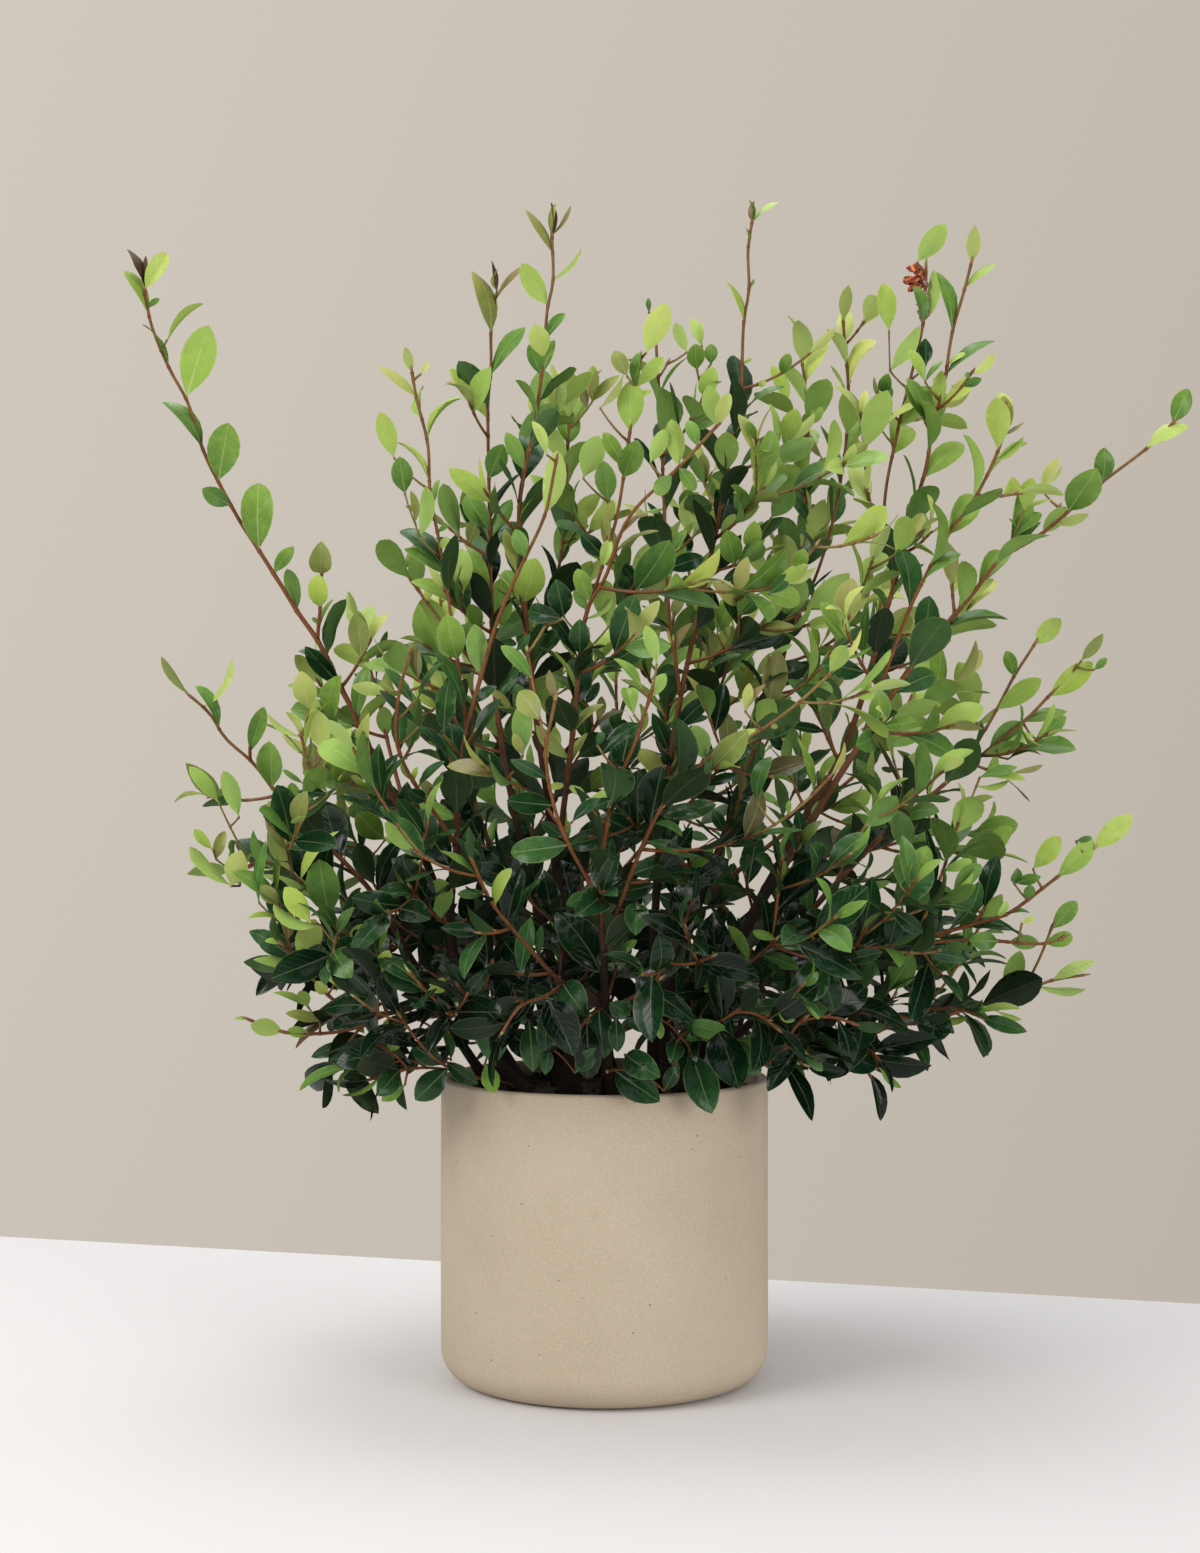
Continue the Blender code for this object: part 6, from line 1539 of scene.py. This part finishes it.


# The leaf's greens from the oldest and most shaded to the youngest, its bronzes, and the colours laid on them
LEAF_GREENS = (
    (0.00, (0.0014, 0.0075, 0.0030)), (0.11, (0.0038, 0.0210, 0.0070)), (0.20, (0.0100, 0.0460, 0.0140)),
    (0.31, (0.0360, 0.1150, 0.0280)), (0.45, (0.1200, 0.2600, 0.0440)), (0.63, (0.3000, 0.4850, 0.0900)),
    (0.82, (0.4500, 0.6500, 0.1400)), (1.00, (0.6600, 0.8000, 0.2900)),
)
LEAF_BRONZES = ((0.0, (0.050, 0.022, 0.017)), (0.45, (0.210, 0.120, 0.055)), (0.85, (0.420, 0.340, 0.120)))
YELLOWER = (1.25, 1.03, 0.75, 1.0)
UNDERSIDE_GREEN = (0.30, 0.42, 0.15, 1.0)
VEIN_GREEN = (0.62, 0.70, 0.30, 1.0)
LIGHT_THROUGH = (0.34, 0.44, 0.05, 1.0)
BLOTCHES_A_METRE = 95.0
FINE_SPOTS_A_METRE = 900.0
SIDE_VEINS = 8.0
VEIN_SLANT = -0.36
LEAF_RELIEF = 0.0006


def leaf_finish():
    """A glossy leaf: green by how young it is and by painted shade, bronze when it unfolds, pale midrib,
    fine veins, and a pale rim that is partly a painted highlight.

    The blade map gives (share of the length, place across in half-widths). A side vein is where
    (length + slant x |across|) x the number of side veins is near a whole number.
    """
    material, tree, shader = ready_material("camellia_leaf", 0.35)
    place = place_on(tree)
    maps = ("youth_and_shade", "bronze", "tone", "under", "rim")
    youth_and_shade, bronze, tone, under, rim = (painted(tree, name) for name in maps)
    blade_map = add(tree, "ShaderNodeUVMap", uv_map="blade").outputs[0]
    spot = add(tree, "ShaderNodeSeparateXYZ", ((0, blade_map),))
    along = spot.outputs[0]
    across = figure(tree, "ABSOLUTE", spot.outputs[1])
    blotch = noise(tree, place, BLOTCHES_A_METRE, 4.0, 0.6)
    fine = noise(tree, place, FINE_SPOTS_A_METRE, 2.0)

    # Painted shade: this map is lower inside the crown, so those leaves take the darkest greens.
    leaf_age_and_shade = graded(tree, figure(tree, "SUBTRACT", blotch, 0.5), 0.20, youth_and_shade)
    leaf_age_and_shade = graded(tree, figure(tree, "SUBTRACT", along, 0.45), 0.10, leaf_age_and_shade)
    green = ramp(tree, leaf_age_and_shade, LEAF_GREENS)
    yellowed = mixed(tree, 1.0, green, YELLOWER, "MULTIPLY")
    green = mixed(tree, figure(tree, "MULTIPLY", tone, 0.8), green, yellowed)
    top = mixed(tree, bronze, green, ramp(tree, leaf_age_and_shade, LEAF_BRONZES))
    pale = mixed(tree, graded(tree, youth_and_shade, 0.32, 0.02), top, UNDERSIDE_GREEN)
    colour = mixed(tree, under, top, pale)

    rib = figure(tree, "DIVIDE", across, graded(tree, along, -0.055, 0.085))
    rib = ramp(tree, rib, ((0.30, grey(1.0)), (1.0, grey(0.0))), True)
    slanted = graded(tree, across, VEIN_SLANT, along)
    beat = figure(tree, "FRACT", figure(tree, "MULTIPLY", slanted, SIDE_VEINS))
    gap = figure(tree, "ABSOLUTE", figure(tree, "SUBTRACT", beat, 0.5))
    vein = ramp(tree, gap, ((0.42, grey(0.0)), (0.50, grey(1.0))), True)
    vein = figure(tree, "MULTIPLY", vein, ramp(tree, rim, ((0.55, grey(1.0)), (0.92, grey(0.0)))))
    # A pale margin, partly the leaf's own colour and partly a painted highlight along its rim.
    edge = ramp(tree, rim, ((0.925, grey(0.0)), (0.975, grey(1.0))))
    light_green = mixed(tree, graded(tree, youth_and_shade, 0.62, 0.09), colour, VEIN_GREEN)
    rib_share = figure(tree, "MULTIPLY", rib, graded(tree, under, -0.45, 0.80))
    vein_share = figure(tree, "MULTIPLY", vein, graded(tree, youth_and_shade, 0.14, 0.08))
    edge_share = figure(tree, "MULTIPLY", edge, 0.70)
    for share in (rib_share, vein_share, edge_share):
        colour = mixed(tree, share, colour, light_green)
    tree.links.new(colour, shader.inputs["Base Color"])
    tree.links.new(graded(tree, youth_and_shade, 0.10, 0.22), shader.inputs["Specular IOR Level"])

    matt = graded(tree, youth_and_shade, 0.30, 0.12)
    matt = graded(tree, figure(tree, "SUBTRACT", fine, 0.5), 0.10, matt)
    tree.links.new(graded(tree, under, 0.26, matt), shader.inputs["Roughness"])
    relief = graded(tree, vein, -0.3, figure(tree, "MULTIPLY", blotch, 0.15))
    relief = graded(tree, rib, -0.8, relief)
    tree.links.new(bumped(tree, relief, LEAF_RELIEF, 0.55), shader.inputs["Normal"])

    lit_through = mixed(tree, 0.5, colour, LIGHT_THROUGH)
    glow = add(tree, "ShaderNodeBsdfTranslucent", (("Color", lit_through),))
    through = graded(tree, youth_and_shade, 0.38, -0.03, clamp=True)
    both = add(tree, "ShaderNodeMixShader", ((0, through), (1, shader.outputs[0]), (2, glow.outputs[0])))
    tree.links.new(both.outputs[0], tree.nodes["Material Output"].inputs["Surface"])
    return material


def youth_and_shade_of(root, rank, tip, draw):
    """How young leaves are, 0 to 1: more up, out to the sides and near a shoot's tip, less inside.

    The painted shade inside is  1 - (x / wide)^2 - (y / deep)^2,  and lowers the value so that
    leaves inside the crown are coloured darker. How young a tip's leaves are falls off along its
    shoot as  e^(-rank / ranks).
    """
    lift = np.clip((root[:, 2] - YOUTH_FROM_HEIGHT) / YOUTH_HEIGHTS, 0, 1)
    side = np.abs(root[:, 0]) / YOUTH_SIDE
    wide = np.interp(root[:, 2], CROWN_HEIGHT, CROWN_RIGHT)
    deep = np.interp(root[:, 2], CROWN_HEIGHT, CROWN_DEPTH)
    shade = np.clip(1.0 - (root[:, 0] / wide) ** 2 - (root[:, 1] / deep) ** 2, 0, 1)
    youth_and_shade = YOUTH_LEAST + YOUTH_UPWARD * lift + YOUTH_ASIDE * side**2 * (0.3 + lift)
    # Painted shade: leaves inside the crown get a lower value, so they are coloured darker.
    youth_and_shade += PAINTED_SHADE_INSIDE * shade * (1.1 - 0.6 * lift)
    at_tip = YOUTH_AT_TIP + YOUTH_AT_HIGH_TIP * np.clip(2 * lift, 0, 1)
    youth_and_shade += at_tip * np.exp(-rank / YOUTH_RANKS) * tip + YOUTH_CHANCE * (draw[:, 0] - 0.5)
    return np.clip(youth_and_shade, 0.02 + 0.17 * lift, 1.0)


def leaves_on(number):
    """All the leaves of one stem: rings, tips, half-widths, random draws, how young with painted shade, and
    bronze.
    """
    rows = []
    for seed, branch in enumerate(branches):
        if branch.stem != number or branch.seats is None or not len(branch.seats[0]):
            continue
        places, root, line, first, second, angle, draw, rank = branch.seats
        direction, face, length, width = leaf_poses(root, line, first, second, angle, draw, rank)
        more = np.random.default_rng(7000 + seed).random((len(places), 12))
        more[:, 11] = more[0, 11]
        radius = np.interp(places, branch.along, branch.radii)
        seat = root + direction * (0.6 * radius)[:, None]
        tip_age = np.clip((branch.path[-1][2] - 0.30) / 0.35 + abs(branch.path[-1][0]) / 0.45, 0.35, 1.0)
        youth_and_shade = youth_and_shade_of(root, rank, tip_age, more) + SHOOT_CHANCE * (more[:, 11] - 0.5)
        unfolding = (rank < BRONZE_RANKS) & (more[:, 7] > 0.50)
        unfolding &= (tip_age > 0.7) & (root[:, 2] > BRONZE_FROM_HEIGHT)
        bronze = unfolding * (0.20 + 0.6 * more[:, 8])
        low = np.clip((0.62 - root[:, 2]) / 0.25, 0.0, 1.0)
        pointed = 0.45 + 0.40 * low + 0.4 * (more[:, 9] - 0.5) + 0.4 * (rank < BRONZE_RANKS)
        pointed, youth_and_shade = np.clip(pointed, 0, 1), np.clip(youth_and_shade, 0, 1)
        rows.append((seat, direction, face, length, width, pointed, more, youth_and_shade, bronze))
    mine = [leaf for leaf in leaves_read if leaf[0] == number]
    if mine:
        seat, direction, face, length, width, youth_and_shade, bronze, pointed = map(np.array, list(zip(*mine))[1:])
        more = np.random.default_rng(400 + number).random((len(mine), 12))
        turned_away = (more[:, 7] > 0.66) & (youth_and_shade > 0.4)
        face = np.where(turned_away[:, None], -face, face)
        youth_and_shade = np.clip(youth_and_shade + 0.08 * (more[:, 8] - 0.5), 0, 1)
        rows.append((seat, direction, face, length, width, pointed, more, youth_and_shade, bronze))
    *poses, draw, youth_and_shade, bronze = (np.concatenate(column) for column in zip(*rows))
    rings, ends, shape = blades(*poses, draw)
    keep = ~in_pot(rings, POT_GAP).any(axis=(1, 2))
    return [column[keep] for column in (rings, ends, shape, draw, youth_and_shade, bronze)]


def leafage(name, rings, ends, shape, draw, youth_and_shade, bronze):
    """The mesh of many leaves, with each leaf's looks and the blade map on it.

    The rim is a sharp edge, so that the upper and the lower side are shaded apart.
    """
    count, rows, corners = rings.shape[:3]
    points, faces = lofted(rings, ends)
    thing = new_piece(name, points, *faces)
    mesh = thing.data
    each = rows * corners + 1
    paint(thing, "youth_and_shade", np.repeat(youth_and_shade, each))
    paint(thing, "bronze", np.repeat(bronze, each))
    paint(thing, "tone", np.repeat(draw[:, 10], each))
    rim = np.concatenate([np.tile(np.abs(LEAF_COLUMNS), rows), [1.0]])
    paint(thing, "rim", np.tile(rim, count))
    under = [np.tile(UNDER_FACES, count * (rows - 1)), np.ones(count), np.tile(UNDER_FACES, count)]
    paint(thing, "under", np.concatenate(under), "FACE")

    along = np.broadcast_to(LEAF_STATIONS[None, :-1, None], (count, rows, corners))
    across = shape[:, :-1, None] * LEAF_COLUMNS[None, None]
    chart = np.stack([along, across], axis=3).reshape(count, -1, 2)
    chart = np.concatenate([chart, np.tile([[[1.0, 0.0]]], (count, 1, 1))], axis=1).reshape(-1, 2)
    corner = np.empty(len(mesh.loops), np.int32)
    mesh.loops.foreach_get("vertex_index", corner)
    mesh.uv_layers.new(name="blade").data.foreach_set("uv", chart[corner].astype(np.float32).ravel())

    kind = np.tile(np.concatenate([np.tile([1, 0, 0, 0, 2, 0, 0, 0], rows), [3]]), count)
    ends_of = np.empty(2 * len(mesh.edges), np.int32)
    mesh.edges.foreach_get("vertices", ends_of)
    one, other = kind[ends_of.reshape(-1, 2)].T
    sharp = (one > 0) & (other > 0)
    mesh.attributes.new("sharp_edge", "BOOLEAN", "EDGE").data.foreach_set("value", sharp)
    return thing


leaf_green = leaf_finish()
for number, (name, *_) in enumerate(STEMS):
    leaves = leafage(name.replace("stem", "leaves"), *leaves_on(number))
    placed(leaves, leaf_green, "foliage", name)


# The dried bloom: a few crumpled rust-brown petals still hanging on a tall shoot on the right, and
# the dry pinkish scales of the flower buds below it. Each is a thin closed blade like a leaf,
# crumpled by summed waves.
CRUMPLE = 0.0008
CRUMPLE_WAVE = 620.0
PETAL_SHRINK = 0.82
PETAL_POINTED = 0.2
PETAL_COLOURS = ((0.40, (0.080, 0.012, 0.007)), (0.52, (0.300, 0.050, 0.016)), (0.66, (0.850, 0.300, 0.080)))
SCALE_COLOURS = ((0.35, (0.110, 0.050, 0.035)), (0.65, (0.380, 0.230, 0.170)))
PETAL_PATCHES_A_METRE = 240.0
PETAL_RELIEF = 0.0008


def dried_bloom():
    """Dead petals, rust to bright orange in random patches. The scales are duller and pinkish."""
    material, tree, shader = ready_material("dried_bloom", 0.7)
    place = place_on(tree)
    rust = painted(tree, "rust")
    patch = noise(tree, place, PETAL_PATCHES_A_METRE, 4.0, 0.6)
    petal = ramp(tree, patch, PETAL_COLOURS)
    scale = ramp(tree, patch, SCALE_COLOURS)
    tree.links.new(mixed(tree, rust, scale, petal), shader.inputs["Base Color"])
    tree.links.new(bumped(tree, patch, PETAL_RELIEF, 0.6), shader.inputs["Normal"])
    return material


stem_of, seat, direction, face, length, width, rust = map(np.array, zip(*petals_read))
length, width = PETAL_SHRINK * length, PETAL_SHRINK * width
draw = np.random.default_rng(77).random((len(seat), 12))
draw[:, 0] = 0.6 + 0.4 * draw[:, 0]
pointed = np.full(len(seat), PETAL_POINTED)
petal_rings, petal_ends, _ = blades(seat, direction, face, length, width, pointed, draw)
for points in (petal_rings, petal_ends):
    x, y, z = np.moveaxis(points, -1, 0) * CRUMPLE_WAVE
    waves = (np.sin(y + 1.3 * z), np.sin(1.1 * x + z), np.sin(0.9 * x + 1.2 * y))
    points += CRUMPLE * np.stack(waves, axis=-1)
petal_points, petal_faces = lofted(petal_rings, petal_ends)
bloom = new_piece("dried_bloom", petal_points, *petal_faces)
paint(bloom, "rust", np.repeat(rust, len(petal_points) // len(rust)))
placed(bloom, dried_bloom(), "dried_bloom", STEMS[int(stem_of[0])][0])


# The buds: a pointed bronze-green bud ends each shoot, and small ones sit in some leaves' axils.
# A bud is five rings of six corners on a spindle's profile, closed in a sharp tip.
BUD_LENGTH = 0.0085
BUD_RADIUS = 0.0015
BUD_STATIONS = np.array([0.04, 0.22, 0.42, 0.62, 0.82])
BUD_SUNK = 0.001
AXILS_WITHOUT_BUD = 0.62
BUD_COLOURS = ((0.36, (0.14, 0.040, 0.022)), (0.52, (0.26, 0.120, 0.050)), (0.66, (0.34, 0.40, 0.11)))
BUD_PATCHES_A_METRE = 42.0
BUD_STREAKS_A_METRE = 700.0
BUD_RELIEF = 0.0004


def spindles(start, direction, length, radius):
    """Pointed buds: radius x sin(pi t^0.6)^0.8, t being the share of the length."""
    t = BUD_STATIONS
    wide = radius[:, None] * np.sin(np.pi * t[None] ** 0.6).clip(0.05) ** 0.8
    beside = unit(np.cross(direction, [0.31, 0.17, 0.93]))
    other = np.cross(direction, beside)
    corner = 2 * np.pi * np.arange(6) / 6
    ring = swung(beside[:, None], other[:, None], corner)
    middle = start[:, None] + direction[:, None] * (length[:, None] * t[None])[..., None]
    rings = middle[:, :, None] + wide[..., None, None] * ring[:, None]
    return lofted(rings, start + direction * length[:, None])


def young_growth():
    """Bronze to lime bud scales, with a slight sheen."""
    material, tree, shader = ready_material("young_growth", 0.4)
    place = place_on(tree)
    patch = noise(tree, place, BUD_PATCHES_A_METRE, 2.0)
    streak = noise(tree, place, BUD_STREAKS_A_METRE, 3.0)
    streak_tone = ramp(tree, streak, ((0.3, grey(0.25)), (0.7, grey(0.75))))
    colour = mixed(tree, 0.5, ramp(tree, patch, BUD_COLOURS), streak_tone, "SOFT_LIGHT")
    tree.links.new(colour, shader.inputs["Base Color"])
    tree.links.new(bumped(tree, streak, BUD_RELIEF, 0.4), shader.inputs["Normal"])
    return material


starts, ways, sizes = [], [], []
for seed, branch in enumerate(branches):
    if branch.seats is None:
        continue
    places, root, line, first, second, angle = branch.seats[:6]
    draw = np.random.default_rng(9000 + seed).random((len(places) + 1, 3))
    tip_way = tangents(branch.path)[-1]
    starts.append(branch.path[-1] - tip_way * BUD_SUNK)
    ways.append(tip_way)
    sizes.append(0.8 + 0.5 * draw[0, 0])
    radial = swung(first, second, angle)
    for k in np.flatnonzero(draw[1:, 1] > AXILS_WITHOUT_BUD):
        thick = np.interp(places[k], branch.along, branch.radii)
        ways.append(unit(line[k] + 0.55 * radial[k]))
        starts.append(root[k] + radial[k] * thick * 0.6 + line[k] * 0.0015)
        sizes.append(0.38 + 0.25 * draw[k + 1, 2])
starts, ways, sizes = np.array(starts), np.array(ways), np.array(sizes)
bud_points, bud_faces = spindles(starts, ways, BUD_LENGTH * sizes, BUD_RADIUS * sizes**0.7)
buds = new_piece("buds", bud_points, *bud_faces)
placed(buds, young_growth(), "young_growth", *[stem[0] for stem in STEMS])


# The stage: a pale matt floor that ends behind the pot in a slightly skewed line, and a taupe
# surround behind it, with painted light that makes it lighter to the left and higher up. Large soft
# lights stand to the upper left, overhead and to the right.
FLOOR_COLOUR = (0.750, 0.729, 0.727)
SURROUND_LEFT = (0.615, 0.563, 0.494)
SURROUND_RIGHT = (0.520, 0.470, 0.410)
SOFT_LIGHT = 0.70
FLOOR_BACK_LEFT = (-0.72, 0.71)
FLOOR_BACK_RIGHT = (0.62, 0.32)
FLOOR_REACH = 4.0
FLOOR_BACK_REACH = 3.0
FLOOR_THICKNESS = 0.02
FLOOR_BELOW_POT = 0.0002
SENSOR = 36.0


def floor():
    """A flat slab whose far edge runs through the two back points."""
    left, right = np.array(FLOOR_BACK_LEFT), np.array(FLOOR_BACK_RIGHT)
    way = unit(right - left)
    far_left, far_right = left - FLOOR_BACK_REACH * way, right + FLOOR_BACK_REACH * way
    outline = np.array([(-FLOOR_REACH, -FLOOR_REACH), (FLOOR_REACH, -FLOOR_REACH), far_right, far_left])
    top = np.concatenate([outline, np.full((4, 1), -FLOOR_BELOW_POT)], axis=1)
    bottom = top - UP * FLOOR_THICKNESS
    points, faces = lofted(np.array([[bottom, top]]))
    return new_piece("floor", points, *faces)


def floor_finish():
    """A pale matt floor, the same all over."""
    material, _, shader = ready_material("pale_floor", 0.85)
    shader.inputs["Base Color"].default_value = (*FLOOR_COLOUR, 1.0)
    return material


ground = floor()
ground.data.materials.append(floor_finish())
ground.data.polygons.foreach_set("use_smooth", np.zeros(len(ground.data.polygons), bool))


def surround():
    """The world: soft white light, brighter from above in reflections, and taupe in the view.

    The taupe carries painted light: it goes from the lighter left colour to the darker right one
    with  1/2 + 2.1 x,  and is lighter by 0.16 z higher up.
    """
    world = bpy.data.worlds.new("surround")
    bpy.context.scene.world = world
    world.use_nodes = True
    tree = world.node_tree
    background = tree.nodes["Background"]
    way = add(tree, "ShaderNodeTexCoord").outputs["Generated"]
    across, _, height = add(tree, "ShaderNodeSeparateXYZ", ((0, way),)).outputs
    share = graded(tree, across, 2.1, 0.5, clamp=True)
    seen_colour = mixed(tree, share, (*SURROUND_LEFT, 1.0), (*SURROUND_RIGHT, 1.0))
    # Painted light: the surround is lighter higher up.
    lit = graded(tree, height, 0.16, 1.0)
    lit = add(tree, "ShaderNodeCombineColor", ((0, lit), (1, lit), (2, lit))).outputs[0]
    seen_colour = mixed(tree, 1.0, seen_colour, lit, "MULTIPLY")
    rays = add(tree, "ShaderNodeLightPath")
    sheen = ramp(tree, height, ((0.10, grey(0.01)), (0.50, grey(0.03)), (0.72, grey(0.90)), (1.0, grey(1.5))))
    light = mixed(tree, rays.outputs["Is Glossy Ray"], (*grey(SOFT_LIGHT), 1.0), sheen)
    seen_or_light = mixed(tree, rays.outputs["Is Camera Ray"], light, seen_colour)
    tree.links.new(seen_or_light, background.inputs["Color"])
    world.cycles.sampling_method = "NONE"


def soft_light(name, place, target, size, watts, colour=(1.0, 1.0, 1.0)):
    """A square area light at a place in metres, turned to face the target. size is its side."""
    lamp = bpy.data.lights.new(name, "AREA")
    lamp.size = size
    lamp.energy = watts
    lamp.color = colour
    thing = bpy.data.objects.new(name, lamp)
    way = np.array(target) - np.array(place)
    flat = math.hypot(way[0], way[1])
    thing.location = place
    thing.rotation_euler = (math.atan2(flat, -way[2]), 0.0, math.atan2(-way[0], way[1]))
    bpy.context.collection.objects.link(thing)


surround()
soft_light("key", (-3.3, -2.3, 2.7), (0.0, 0.0, 0.4), size=2.3, watts=104.0, colour=(1.0, 0.99, 0.97))
soft_light("overhead", (-0.4, 0.5, 3.6), (0.0, 0.0, 0.6), size=1.8, watts=38.0)
soft_light("fill", (3.4, -3.4, 0.9), (0.0, 0.0, 0.4), size=2.4, watts=88.0)

# The camera looks level, and its sensor's width falls on the frame's longer side
view = bpy.data.cameras.new("view")
view.sensor_width = SENSOR
view.lens = SENSOR * FOCAL_PIXELS / FRAME_PIXELS[1]
camera = bpy.data.objects.new("camera", view)
camera.location = EYE
camera.rotation_euler = (math.radians(90), 0.0, 0.0)
bpy.context.collection.objects.link(camera)
bpy.context.scene.camera = camera
bpy.context.scene.view_settings.view_transform = "Standard"
